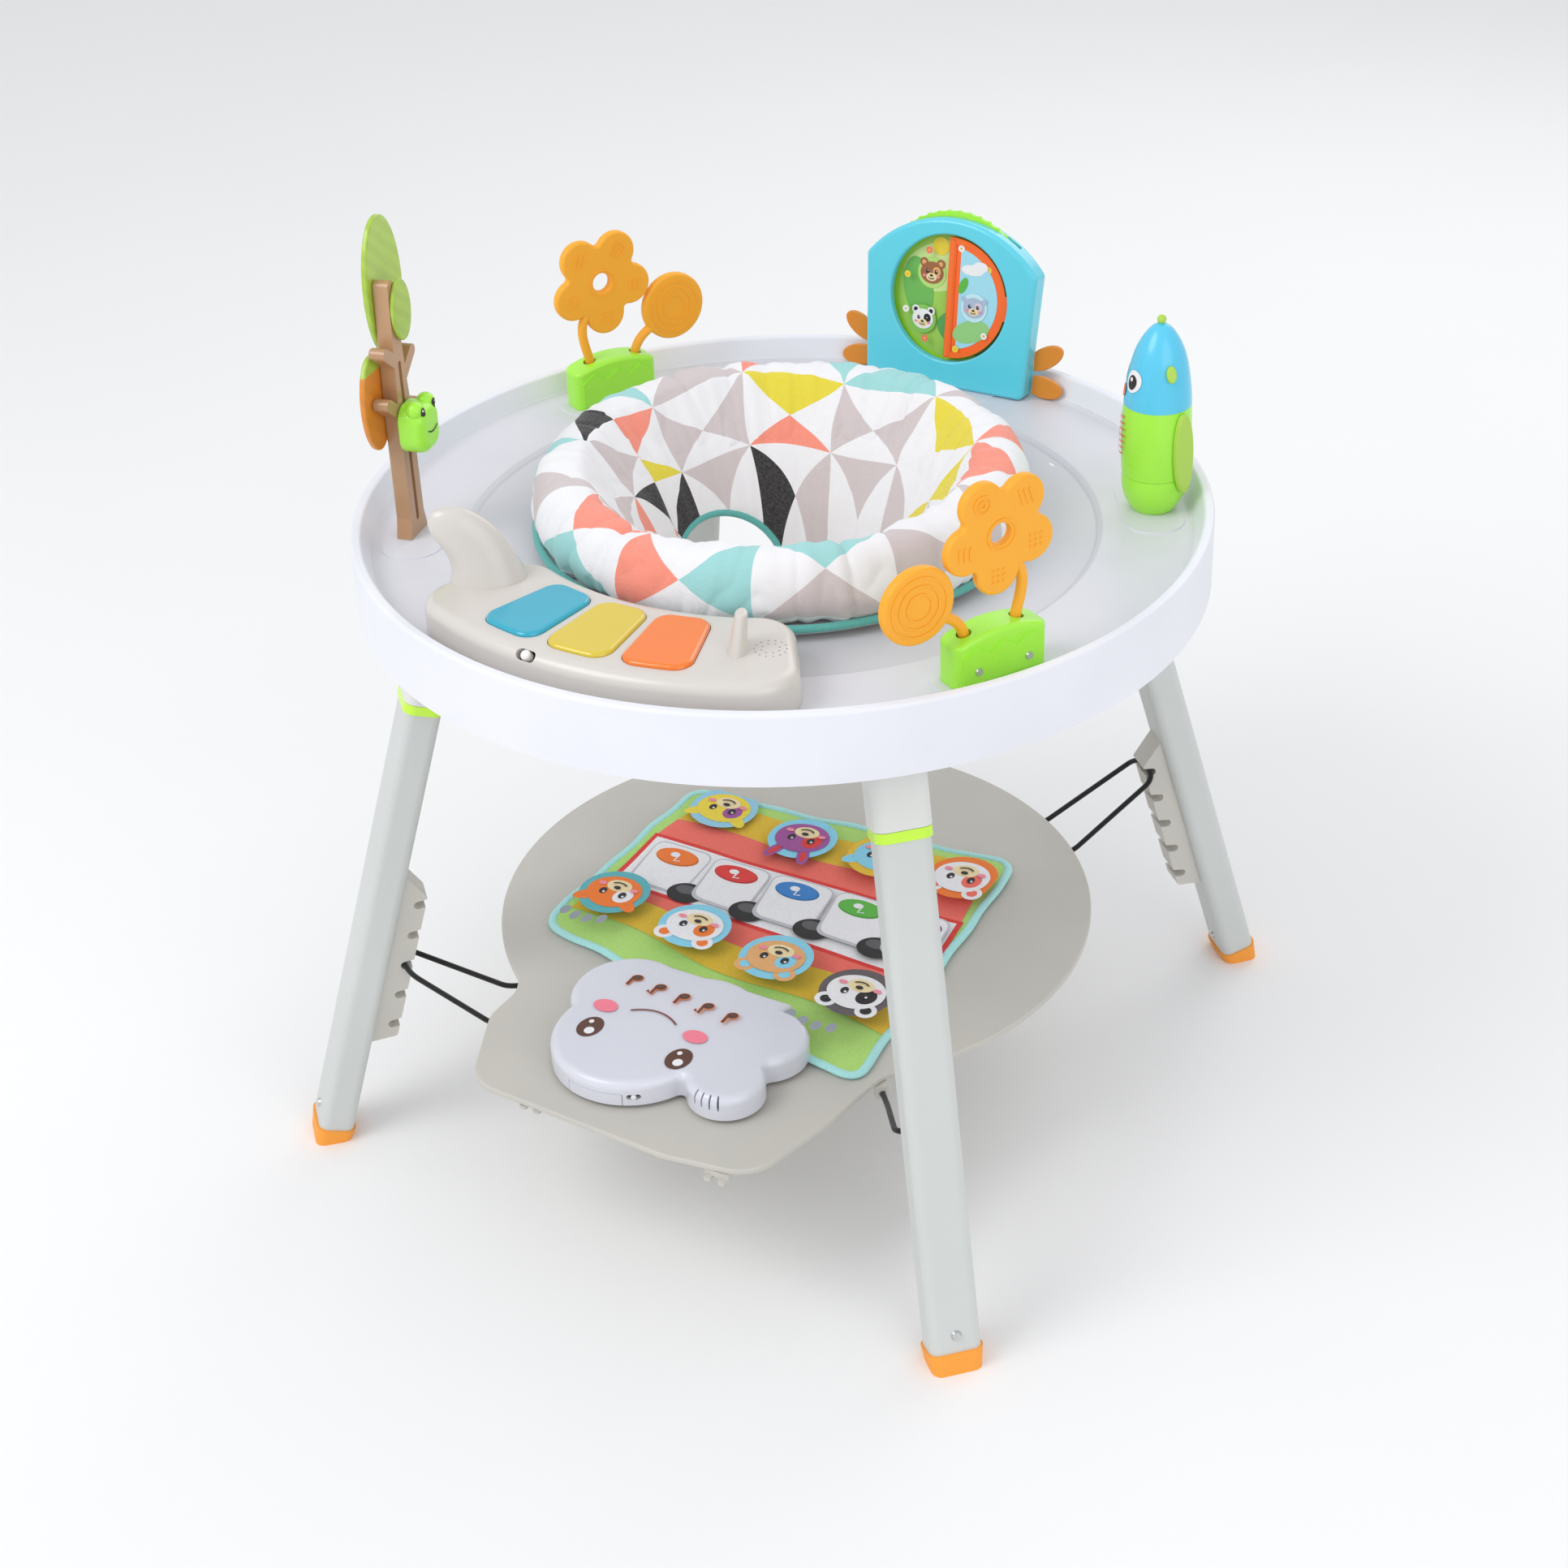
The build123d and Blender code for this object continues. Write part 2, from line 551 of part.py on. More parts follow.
# ------------------------------------------------------------------ play mat and cloud music box
MAT_CORNERS = ((-186, 118), (-195, -150), (186, -229), (170, 142))
MAT_BOTTOM, MAT_THICK = 170.2, 3.5
with BuildPart() as play_mat:
    with BuildSketch(Plane.XY.offset(MAT_BOTTOM)) as mat_outline:
        with BuildLine():
            Polyline(*MAT_CORNERS, close=True)
        make_face()
        fillet(mat_outline.vertices(), radius=22)
    extrude(amount=MAT_THICK)
save(play_mat, "play_mat")

CLOUD_BOTTOM, CLOUD_TOP = 174.3, 198.0
CLOUD_LOBES = ((-8, -283, 74), (-44, -232, 54), (96, -297, 35), (98, -232, 40), (30, -240, 64))
BIG_LOBE = CLOUD_LOBES[0]
DOOR_FROM, DOOR_SWEEP = -108.0, 42.0
cloud_switch_plane = Plane(
    origin=polar(BIG_LOBE[2] - 2.4, -58, CLOUD_BOTTOM + 9) + Vector(BIG_LOBE[0], BIG_LOBE[1], 0),
    x_dir=polar(1, 32),
    z_dir=polar(1, -58),
)


def cloud_shape(shrink=0.0):
    """Puffs along the front and a straight edge towards the mat."""
    with BuildSketch(mode=Mode.PRIVATE) as cloud:
        for lobe_x, lobe_y, lobe_radius in CLOUD_LOBES:
            with Locations((lobe_x, lobe_y)):
                Circle(lobe_radius)
        with Locations((22, -215)):
            Rectangle(150, 70)
        dents = cloud.vertices().filter_by_position(Axis.Y, -400, -240)
        fillet(dents, radius=6)
        if shrink:
            offset(amount=-shrink, mode=Mode.REPLACE)
    return cloud.sketch


def door_shape(inner, outer, spread):
    return ring_sector(inner, outer, DOOR_FROM - spread, DOOR_FROM + DOOR_SWEEP + spread, 0.6)


with BuildPart() as cloud_cover:
    with BuildSketch(Plane.XY.offset(CLOUD_BOTTOM)):
        add(cloud_shape())
    extrude(amount=CLOUD_TOP - CLOUD_BOTTOM)
    fillet(cloud_cover.faces().sort_by(Axis.Z)[-1].edges(), radius=8)
    with BuildSketch(Plane.XY.offset(CLOUD_BOTTOM)):
        add(cloud_shape(4.5))
    extrude(amount=CLOUD_TOP - CLOUD_BOTTOM - 9, mode=Mode.SUBTRACT)
    with BuildSketch(Plane.XY.offset(CLOUD_BOTTOM)):
        with Locations((BIG_LOBE[0], BIG_LOBE[1])):
            add(door_shape(BIG_LOBE[2] - 2.5, BIG_LOBE[2] + 3, 0.3))
    extrude(amount=12, mode=Mode.SUBTRACT)
    with BuildSketch(cloud_switch_plane):
        SlotOverall(13, 5.4)
    extrude(amount=8, both=True, mode=Mode.SUBTRACT)
    for slit in range(4):
        slit_way = -110 + 13 * slit
        slit_spot = polar(34, slit_way, CLOUD_TOP - 7) + Vector(CLOUD_LOBES[2][0], CLOUD_LOBES[2][1], 0)
        with BuildSketch(Plane(origin=slit_spot, x_dir=(0, 0, 1), z_dir=polar(1, slit_way))):
            SlotOverall(13, 1.8)
        extrude(amount=6, both=True, mode=Mode.SUBTRACT)
save(cloud_cover, "cloud_cover")

with BuildPart() as cloud_battery_door:
    with BuildSketch(Plane.XY.offset(CLOUD_BOTTOM + 0.3)):
        with Locations((BIG_LOBE[0], BIG_LOBE[1])):
            add(door_shape(BIG_LOBE[2] - 2.3, BIG_LOBE[2] + 0.3, -0.1))
    extrude(amount=11.4)
save(cloud_battery_door, "cloud_battery_door")

with BuildPart() as cloud_base:
    with BuildSketch(Plane.XY.offset(CLOUD_BOTTOM)):
        add(cloud_shape(4.8))
    extrude(amount=2.5)
    with BuildSketch(Plane.XY.offset(BOARD_TOP)):
        with Locations((-30, -320), (20, -320), (96, -305)):
            Circle(7)
    extrude(amount=CLOUD_BOTTOM - BOARD_TOP)
    with BuildSketch(Plane.XY.offset(CLOUD_BOTTOM + 2.5)):
        with Locations((-60, -235), (96, -240), (20, -190), (-8, -330)):
            Circle(3.5)
    extrude(amount=4)
save(cloud_base, "cloud_base")

with BuildPart() as cloud_circuit_board:
    with BuildSketch(Plane.XY.offset(CLOUD_BOTTOM + 6.5)):
        with Locations((18, -237)):
            Rectangle(142, 80)
        with Locations((-8, -300)):
            Rectangle(70, 62)
    extrude(amount=1.6)
save(cloud_circuit_board, "cloud_circuit_board")

with BuildPart() as cloud_speaker:
    with BuildSketch(Plane.XY.offset(CLOUD_BOTTOM + 2.5)):
        with Locations((98, -300)):
            Circle(11)
    extrude(amount=7)
    with BuildSketch(Plane.XY.offset(CLOUD_BOTTOM + 9.5)):
        with Locations((98, -300)):
            Circle(14)
    extrude(amount=3.5)
save(cloud_speaker, "cloud_speaker")

with BuildPart() as cloud_switch:
    with BuildSketch(cloud_switch_plane.offset(-4)):
        Circle(2.4)
    extrude(amount=7.6)
    switch_tip = cloud_switch.faces().sort_by(Axis(cloud_switch_plane.origin, cloud_switch_plane.z_dir))[-1]
    fillet(switch_tip.edges(), radius=1)
save(cloud_switch, "cloud_switch")

# ------------------------------------------------------------------ picture box
BOX_LEAN = 8.0
BOX_HALF = 91.0
BOX_SHOULDER, BOX_CREST = 121.0, 165.0
BOX_THICK = 12.0
WINDOW_HEIGHT, WINDOW_RADIUS = 88.0, 62.0
WHEEL_RADIUS = 83.0
WHEEL_THICK = 4.0
box_face = toy_plane(PICTURE_AZIMUTH, radius=322.0, lean=BOX_LEAN)


def box_outline(shrink=0.0):
    with BuildSketch(mode=Mode.PRIVATE) as outline:
        with BuildLine():
            Polyline(
                (-BOX_HALF + shrink, BOX_SHOULDER), (-BOX_HALF + 6 + shrink, shrink),
                (BOX_HALF - 6 - shrink, shrink), (BOX_HALF - shrink, BOX_SHOULDER),
            )
            ThreePointArc(
                (BOX_HALF - shrink, BOX_SHOULDER), (0, BOX_CREST - shrink), (-BOX_HALF + shrink, BOX_SHOULDER)
            )
        make_face()
        fillet(outline.vertices(), radius=7)
    return outline.sketch


with BuildPart() as picture_box_front:
    with BuildSketch(box_face):
        add(box_outline())
    extrude(amount=-BOX_THICK)
    box_front_face = picture_box_front.faces().sort_by(Axis(box_face.origin, box_face.z_dir))[-1]
    fillet(box_front_face.edges(), radius=4.5)
    with BuildSketch(box_face.offset(-BOX_THICK)):
        add(box_outline(2.8))
    extrude(amount=BOX_THICK - 3, mode=Mode.SUBTRACT)
    # a stepped well round the window
    with BuildSketch(box_face.offset(-3)):
        with Locations((0, WINDOW_HEIGHT)):
            Circle(WINDOW_RADIUS + 3)
    extrude(amount=-4)
    with BuildSketch(box_face):
        with Locations((0, WINDOW_HEIGHT)):
            Circle(WINDOW_RADIUS)
    extrude(amount=-BOX_THICK, mode=Mode.SUBTRACT)
    front_rim = picture_box_front.edges().filter_by(GeomType.CIRCLE)
    window_edge = front_rim.sort_by_distance(box_face.from_local_coords(Vector(0, WINDOW_HEIGHT, 0)))
    fillet(window_edge[0], radius=2.2)
    split(bisect_by=Plane.XY.offset(TOY_BOTTOM), keep=Keep.TOP)
save(picture_box_front, "picture_box_front")

with BuildPart() as picture_box_back:
    with BuildSketch(box_face.offset(-BOX_THICK - 0.1)):
        add(box_outline())
    extrude(amount=-BOX_THICK)
    back_face = picture_box_back.faces().sort_by(Axis(box_face.origin, box_face.z_dir))[0]
    fillet(back_face.edges(), radius=4.5)
    with BuildSketch(box_face.offset(-BOX_THICK - 0.1)):
        add(box_outline(2.8))
    extrude(amount=-BOX_THICK + 3, mode=Mode.SUBTRACT)
    # slot in the crest for the wheel, and its axle
    with BuildSketch(box_face.offset(-BOX_THICK - 0.1)):
        with Locations((0, WINDOW_HEIGHT)):
            Circle(WHEEL_RADIUS + 4)
        with Locations((0, BOX_CREST - 20)):
            Rectangle(134, 60, mode=Mode.INTERSECT)
    extrude(amount=-WHEEL_THICK - 1.4, mode=Mode.SUBTRACT)
    with BuildSketch(box_face.offset(-2 * BOX_THICK + 2.5)):
        with Locations((0, WINDOW_HEIGHT)):
            Circle(9)
    extrude(amount=3)
    with BuildSketch(box_face.offset(-2 * BOX_THICK + 5.5)):
        with Locations((0, WINDOW_HEIGHT)):
            Circle(4)
    extrude(amount=8)
    split(bisect_by=Plane.XY.offset(TOY_BOTTOM), keep=Keep.TOP)
save(picture_box_back, "picture_box_back")

with BuildPart() as picture_wheel:
    with BuildSketch(box_face.offset(-BOX_THICK - 0.6)):
        with Locations((0, WINDOW_HEIGHT)):
            Circle(WHEEL_RADIUS - 1)
            with PolarLocations(WHEEL_RADIUS - 2.2, 48):
                Circle(2.4)
            Circle(4.05, mode=Mode.SUBTRACT)
    extrude(amount=-WHEEL_THICK)
save(picture_wheel, "picture_wheel")

PAGE_BACK, PAGE_THICK = -7.6, 3.0
with BuildPart() as flip_page:
    with BuildSketch(box_face.offset(PAGE_BACK)) as page_outline:
        with Locations((0, WINDOW_HEIGHT)):
            Circle(WINDOW_RADIUS - 3)
        with Locations((-WINDOW_RADIUS, WINDOW_HEIGHT)):
            Rectangle(2 * WINDOW_RADIUS - 7, 4 * WINDOW_RADIUS, mode=Mode.SUBTRACT)
        with Locations((WINDOW_RADIUS - 8, WINDOW_HEIGHT - 2)):
            Circle(13)
        with Locations((0, WINDOW_HEIGHT)):
            Circle(WINDOW_RADIUS - 0.8, mode=Mode.INTERSECT)
    extrude(amount=PAGE_THICK)
    with BuildSketch(box_face.offset(PAGE_BACK + PAGE_THICK)):
        with Locations((3.5, WINDOW_HEIGHT)):
            Circle(WINDOW_RADIUS - 9)
        with Locations((-WINDOW_RADIUS, WINDOW_HEIGHT)):
            Rectangle(2 * WINDOW_RADIUS + 8, 4 * WINDOW_RADIUS, mode=Mode.SUBTRACT)
    extrude(amount=-1.2, mode=Mode.SUBTRACT)
    with BuildSketch(box_face.offset(PAGE_BACK)):
        with Locations((3.6, WINDOW_HEIGHT)):
            Circle(WINDOW_RADIUS - 9)
        with Locations((-WINDOW_RADIUS, WINDOW_HEIGHT)):
            Rectangle(2 * WINDOW_RADIUS + 8, 4 * WINDOW_RADIUS, mode=Mode.SUBTRACT)
    extrude(amount=0.6, mode=Mode.SUBTRACT)
    # the hinge bar down the window's middle
    hinge_foot = box_face.from_local_coords(Vector(0, WINDOW_HEIGHT - 57, PAGE_BACK + PAGE_THICK / 2))
    with BuildSketch(Plane(origin=hinge_foot, z_dir=box_face.y_dir)):
        Circle(3.6)
    extrude(amount=114)
save(flip_page, "flip_page")

with BuildPart() as box_petals:
    for mirror_side in (-1, 1):
        for petal_height, petal_rise in ((42, 32), (13, -8)):
            with BuildSketch(box_face.offset(-BOX_THICK - 3)):
                with Locations((mirror_side * (BOX_HALF + 9), petal_height)):
                    Ellipse(20, 10.5, rotation=mirror_side * petal_rise)
                Rectangle(2 * BOX_HALF - 4, 400, mode=Mode.SUBTRACT)
            extrude(amount=-4.5)
    fillet(box_petals.edges().filter_by(GeomType.ELLIPSE), radius=1.4)
save(box_petals, "box_petals")

# ------------------------------------------------------------------ bird
BIRD_SEAM, BIRD_NECK, BIRD_CROWN = 616.0, 681.0, 754.0
bird_plane = toy_plane(BIRD_AZIMUTH, radius=TOY_RADIUS, height=0)
bird_axis = Axis(bird_plane.origin, (0, 0, 1))

with BuildPart() as bird_base:
    with BuildSketch(bird_plane):
        with BuildLine():
            belly = Spline((19, TOY_BOTTOM), (24.5, 590), (28.6, BIRD_SEAM - 0.4))
            Polyline(belly @ 1, (0, BIRD_SEAM - 0.4), (0, TOY_BOTTOM), belly @ 0)
        make_face()
    revolve(axis=bird_axis)
    with BuildSketch(Plane(origin=bird_plane.origin + Vector(0, 0, BIRD_SEAM - 0.4))):
        Circle(6)
    extrude(amount=26)
save(bird_base, "bird_base")

with BuildPart() as bird_body:
    with BuildSketch(bird_plane):
        with BuildLine():
            flank = Spline((28.9, BIRD_SEAM), (30.5, 645), (29.6, BIRD_NECK - 0.1))
            Polyline(flank @ 1, (0, BIRD_NECK - 0.1), (0, BIRD_SEAM), flank @ 0)
        make_face()
    revolve(axis=bird_axis)
    with BuildSketch(Plane(origin=bird_plane.origin + Vector(0, 0, BIRD_SEAM))):
        Circle(6.05)
    extrude(amount=27, mode=Mode.SUBTRACT)
save(bird_body, "bird_body")

with BuildPart() as bird_head:
    with BuildSketch(bird_plane):
        with BuildLine():
            Line((0, BIRD_CROWN), (0, BIRD_NECK))
            Line((0, BIRD_NECK), (29.6, BIRD_NECK))
            Spline(
                (29.6, BIRD_NECK), (26, 712), (15, 742), (0, BIRD_CROWN), tangents=((0, 1), (-1, 0)),
                tangent_scalars=(0.6, 1.0),
            )
        make_face()
    revolve(axis=bird_axis)
save(bird_head, "bird_head")

with BuildPart() as bird_trims:
    for way in (-130, 130):
        out = polar(1, BIRD_AZIMUTH + 180 + way)
        shoulder = bird_plane.origin + out * 29.3 + Vector(0, 0, 642)
        with BuildSketch(Plane(origin=shoulder, x_dir=out.rotate(Axis.Z, 90), z_dir=out)):
            Ellipse(11, 38, rotation=4)
        extrude(amount=5.5)
        ear_way = polar(1, BIRD_AZIMUTH + 180 + way * 0.8)
        ear_spot = bird_plane.origin + ear_way * 25.2 + Vector(0, 0, 716)
        ear_plane = Plane(origin=ear_spot, x_dir=ear_way.rotate(Axis.Z, 90), z_dir=ear_way + Vector(0, 0, 0.37))
        with BuildSketch(ear_plane):
            Ellipse(4.5, 7.5)
        extrude(amount=4)
        fillet(bird_trims.edges().filter_by(GeomType.ELLIPSE), radius=1.5)
    with Locations(bird_plane.origin + Vector(0, 0, BIRD_CROWN + 3)):
        Sphere(4)
    add(bird_body.part, mode=Mode.SUBTRACT)
    add(bird_head.part, mode=Mode.SUBTRACT)
save(bird_trims, "bird_trims")

# ------------------------------------------------------------------ tree with its sliding frog
TREE_TURN = -18.0
TRUNK_HALF = 7.5
TRUNK_HEIGHT = 230.0
tree_face = toy_plane(TREE_AZIMUTH, radius=TOY_RADIUS, turn=TREE_TURN)
FROG_LOW, FROG_HIGH = 82.0, 126.0
BRANCHES = ((96, 1, 24), (112, -1, 26), (142, 1, 26), (160, -1, 22), (186, 1, 20))

with BuildPart() as tree_trunk:
    with BuildSketch(tree_face.offset(-TRUNK_HALF)) as trunk_outline:
        with BuildLine():
            Polyline((-17, 0), (17, 0), (13, 18), (12, 120), (7, 200), (6, TRUNK_HEIGHT))
            ThreePointArc((6, TRUNK_HEIGHT), (0, TRUNK_HEIGHT + 5), (-6, TRUNK_HEIGHT))
            Polyline((-6, TRUNK_HEIGHT), (-7, 200), (-12, 120), (-13, 18), (-17, 0))
        make_face()
        for height, side, reach in BRANCHES:
            with Locations((side * reach * 0.6, height + reach * 0.45)):
                SlotOverall(reach * 1.5, 11, rotation=side * 38)
    extrude(amount=2 * TRUNK_HALF)
    # the groove where the two half shells meet, and the slot the frog runs in
    with BuildSketch(tree_face.offset(TRUNK_HALF)):
        with Locations((0, 88)):
            SlotOverall(150, 5.2, rotation=90)
    extrude(amount=-6, mode=Mode.SUBTRACT)
    front_and_back = tree_trunk.faces().sort_by(Axis(tree_face.origin, tree_face.z_dir))
    fillet(front_and_back[0].edges(), radius=2.2)
save(tree_trunk, "tree_trunk")

with BuildPart() as tree_leaves:
    with BuildSketch(tree_face.offset(-TRUNK_HALF - 0.05)):
        with Locations((20, 222)):
            Ellipse(34, 62)
    extrude(amount=-5)
    with BuildSketch(tree_face.offset(-TRUNK_HALF - 0.05)):
        with Locations((-20, 131)):
            Ellipse(24, 43)
    extrude(amount=-5)
    with BuildSketch(tree_face.offset(TRUNK_HALF + 0.05)):
        with Locations((10, 206)):
            Ellipse(17, 27)
    extrude(amount=4)
    fillet(tree_leaves.edges().filter_by(GeomType.ELLIPSE), radius=1.5)
save(tree_leaves, "tree_leaves")

with BuildPart() as frog_slider:
    frog_middle = (FROG_LOW + FROG_HIGH) / 2
    with BuildSketch(tree_face.offset(TRUNK_HALF + 0.4)):
        with Locations((0, frog_middle)):
            RectangleRounded(38, FROG_HIGH - FROG_LOW, 15)
    extrude(amount=24)
    frog_faces = frog_slider.faces().sort_by(Axis(tree_face.origin, tree_face.z_dir))
    fillet(frog_faces[-1].edges(), radius=9)
    fillet(frog_slider.faces().sort_by(Axis(tree_face.origin, tree_face.z_dir))[0].edges(), radius=1.5)
    for eye in (-11, 11):
        with Locations(tree_face.from_local_coords(Vector(eye, FROG_HIGH - 3, TRUNK_HALF + 15))):
            Sphere(8)
    # the stem that runs in the trunk's slot
    with BuildSketch(tree_face.offset(TRUNK_HALF - 5.4)):
        with Locations((0, frog_middle)):
            SlotOverall(26, 4.8, rotation=90)
    extrude(amount=7)
save(frog_slider, "frog_slider")

# ------------------------------------------------------------------ teethers
PETAL_COUNT = 5
PETAL_RADIUS, PETAL_REACH = 20.0, 32.0
FLOWER_SPOT = (-4.0, 120.0)
DISC_SPOT, DISC_RADIUS = (72.0, 79.0), 33.0
TEETHER_HALF = 4.5
BASE_HALF_WIDTH, BASE_HALF_DEPTH, BASE_HEIGHT = 44.0, 15.0, 36.0
PETAL_ANGLES = [-14 + 360 / PETAL_COUNT * number for number in range(PETAL_COUNT)]


def petal_spot(number, reach=PETAL_REACH):
    spot = polar(reach, PETAL_ANGLES[number])
    return FLOWER_SPOT[0] + spot.X, FLOWER_SPOT[1] + spot.Y


def chewing_relief():
    """Rings, bars, dots and waves raised on the petals, and rings on the disc."""
    with BuildSketch(mode=Mode.PRIVATE) as relief:
        with Locations(petal_spot(1, 35)):
            Circle(8)
            Circle(6.6, mode=Mode.SUBTRACT)
            Circle(3.6)
            Circle(2.2, mode=Mode.SUBTRACT)
        with Locations(petal_spot(2, 35)):
            with GridLocations(5, 1, 3, 1):
                SlotOverall(15, 1.8, rotation=72)
        with Locations(petal_spot(3, 35), petal_spot(4, 35)):
            with GridLocations(5, 5, 3, 3):
                Circle(1.1)
        with Locations(petal_spot(0, 35)):
            with GridLocations(5, 1, 3, 1):
                Ellipse(1.2, 6.5)
        with Locations(FLOWER_SPOT):
            Circle(13.6)
            Circle(12.0, mode=Mode.SUBTRACT)
            Circle(9, mode=Mode.SUBTRACT)
        with Locations(DISC_SPOT):
            for ring in (26, 19, 12):
                Circle(ring)
                Circle(ring - 1.5, mode=Mode.SUBTRACT)
    return relief.sketch


for place, azimuth in TEETHER_AZIMUTHS.items():
    face = toy_plane(azimuth, radius=TOY_RADIUS - 2)
    with BuildPart() as teether_base:
        with BuildSketch(face.offset(-BASE_HALF_DEPTH)):
            with BuildLine():
                Polyline(
                    (-BASE_HALF_WIDTH, BASE_HEIGHT), (-BASE_HALF_WIDTH, 0), (BASE_HALF_WIDTH, 0),
                    (BASE_HALF_WIDTH, BASE_HEIGHT),
                )
                ThreePointArc(
                    (BASE_HALF_WIDTH, BASE_HEIGHT), (0, BASE_HEIGHT + 9), (-BASE_HALF_WIDTH, BASE_HEIGHT)
                )
            make_face()
        extrude(amount=2 * BASE_HALF_DEPTH)
        upright = teether_base.edges().filter_by(Axis.Z)
        fillet(upright, radius=9)
        fillet(teether_base.faces().sort_by(Axis.Z)[-1].edges(), radius=4)
        # eggshell line: a raised lower half with a zig-zag edge
        zigzag = [(-38 + 12.7 * step, BASE_HEIGHT - 9 + 8 * (step % 2)) for step in range(7)]
        with BuildSketch(face.offset(-BASE_HALF_DEPTH - 1.2)):
            with BuildLine():
                Polyline((-38, 3), *zigzag, (38.2, 3), close=True)
            make_face()
        extrude(amount=2 * BASE_HALF_DEPTH + 2.4)
        # wells that the teether's two stems stand in
        for stem_x in (-22, 28):
            with BuildSketch(Plane(origin=face.from_local_coords(Vector(stem_x, BASE_HEIGHT - 14, 0)))):
                Circle(6.2)
            extrude(amount=40, mode=Mode.SUBTRACT)
    save(teether_base, f"teether_base_{place}")

    with BuildPart() as teether:
        with BuildSketch(face.offset(-TEETHER_HALF)) as flower:
            with Locations(FLOWER_SPOT):
                with PolarLocations(PETAL_REACH, PETAL_COUNT, start_angle=PETAL_ANGLES[0]):
                    Circle(PETAL_RADIUS)
                Circle(30)
            fillet(flower.vertices(), radius=4)
            with Locations(FLOWER_SPOT):
                Circle(9, mode=Mode.SUBTRACT)
            with Locations(DISC_SPOT):
                Circle(DISC_RADIUS)
        extrude(amount=2 * TEETHER_HALF)
        rims = teether.faces().sort_by(Axis(face.origin, face.z_dir))
        fillet(rims[0:2].edges() + rims[-2:].edges(), radius=2.8)
        for side in (-1, 1):
            with BuildSketch(face.offset(side * TEETHER_HALF)):
                add(chewing_relief())
            extrude(amount=side * 0.7)
        # the two stems
        with BuildLine() as flower_stem:
            Spline([face.from_local_coords(Vector(*spot, 0)) for spot in
                    ((-22, BASE_HEIGHT - 11.5), (-23, 50), (-27, 70), (-20, 92))])
        with BuildSketch(Plane(origin=flower_stem.line @ 0, z_dir=flower_stem.line % 0)):
            Circle(4.5)
        sweep(path=flower_stem.wires()[0])
        with BuildLine() as disc_stem:
            Spline([face.from_local_coords(Vector(*spot, 0)) for spot in
                    ((28, BASE_HEIGHT - 11.5), (30, 46), (48, 62))])
        with BuildSketch(Plane(origin=disc_stem.line @ 0, z_dir=disc_stem.line % 0)):
            Circle(4.5)
        sweep(path=disc_stem.wires()[0])
    save(teether, f"teether_{place}")

with BuildPart() as teether_screws:
    for azimuth in TEETHER_AZIMUTHS.values():
        for screw_x in (-24, 24):
            screw_face = toy_plane(azimuth, radius=TOY_RADIUS - 2).offset(-BASE_HALF_DEPTH - 1.2)
            with BuildSketch(screw_face):
                with Locations((screw_x, 13)):
                    Circle(3.6)
            extrude(amount=-1.6, taper=20)
save(teether_screws, "teether_screws")
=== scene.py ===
import math

import bmesh
import bpy
from mathutils import Matrix, Vector, noise
from mathutils.bvhtree import BVHTree


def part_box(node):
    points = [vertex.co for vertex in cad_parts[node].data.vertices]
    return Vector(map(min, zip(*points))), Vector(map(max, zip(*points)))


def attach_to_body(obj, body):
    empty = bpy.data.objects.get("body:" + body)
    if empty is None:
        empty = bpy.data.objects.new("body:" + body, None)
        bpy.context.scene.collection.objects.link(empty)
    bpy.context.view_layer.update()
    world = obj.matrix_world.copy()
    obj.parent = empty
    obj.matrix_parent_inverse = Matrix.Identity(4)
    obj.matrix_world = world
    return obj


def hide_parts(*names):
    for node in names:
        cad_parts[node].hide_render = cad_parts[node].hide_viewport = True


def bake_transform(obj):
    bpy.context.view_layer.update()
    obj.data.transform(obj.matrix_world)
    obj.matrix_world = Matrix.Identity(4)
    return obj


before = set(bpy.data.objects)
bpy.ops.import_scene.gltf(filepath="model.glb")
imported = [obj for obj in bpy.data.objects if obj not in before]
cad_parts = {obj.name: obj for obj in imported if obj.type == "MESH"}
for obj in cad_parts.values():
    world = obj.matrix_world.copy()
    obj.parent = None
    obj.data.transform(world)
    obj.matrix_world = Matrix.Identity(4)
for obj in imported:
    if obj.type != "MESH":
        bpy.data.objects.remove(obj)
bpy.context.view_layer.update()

UP = Vector((0, 0, 1))

# ---- colours, linear
WHITE = (0.86, 0.86, 0.89)
# grey of the painted shade on the tray's floor and track, also the base of the track plastic's own colour
FLOOR_SHADE_AND_TRACK_GREY = (0.68, 0.68, 0.73)
LEAF = (0.50, 0.74, 0.08)
LEAF_ORANGE = (0.90, 0.33, 0.03)
BLACK = (0.012, 0.012, 0.013)
# the triangle print: where each ink starts, out of 1, and the ink
PRINT = [
    (0.00, (0.62, 0.55, 0.56)), (0.36, (0.33, 0.67, 0.67)), (0.52, (0.92, 0.28, 0.20)),
    (0.66, (0.022, 0.020, 0.022)), (0.82, (0.78, 0.66, 0.035)), (0.94, (0.84, 0.84, 0.87)),
]


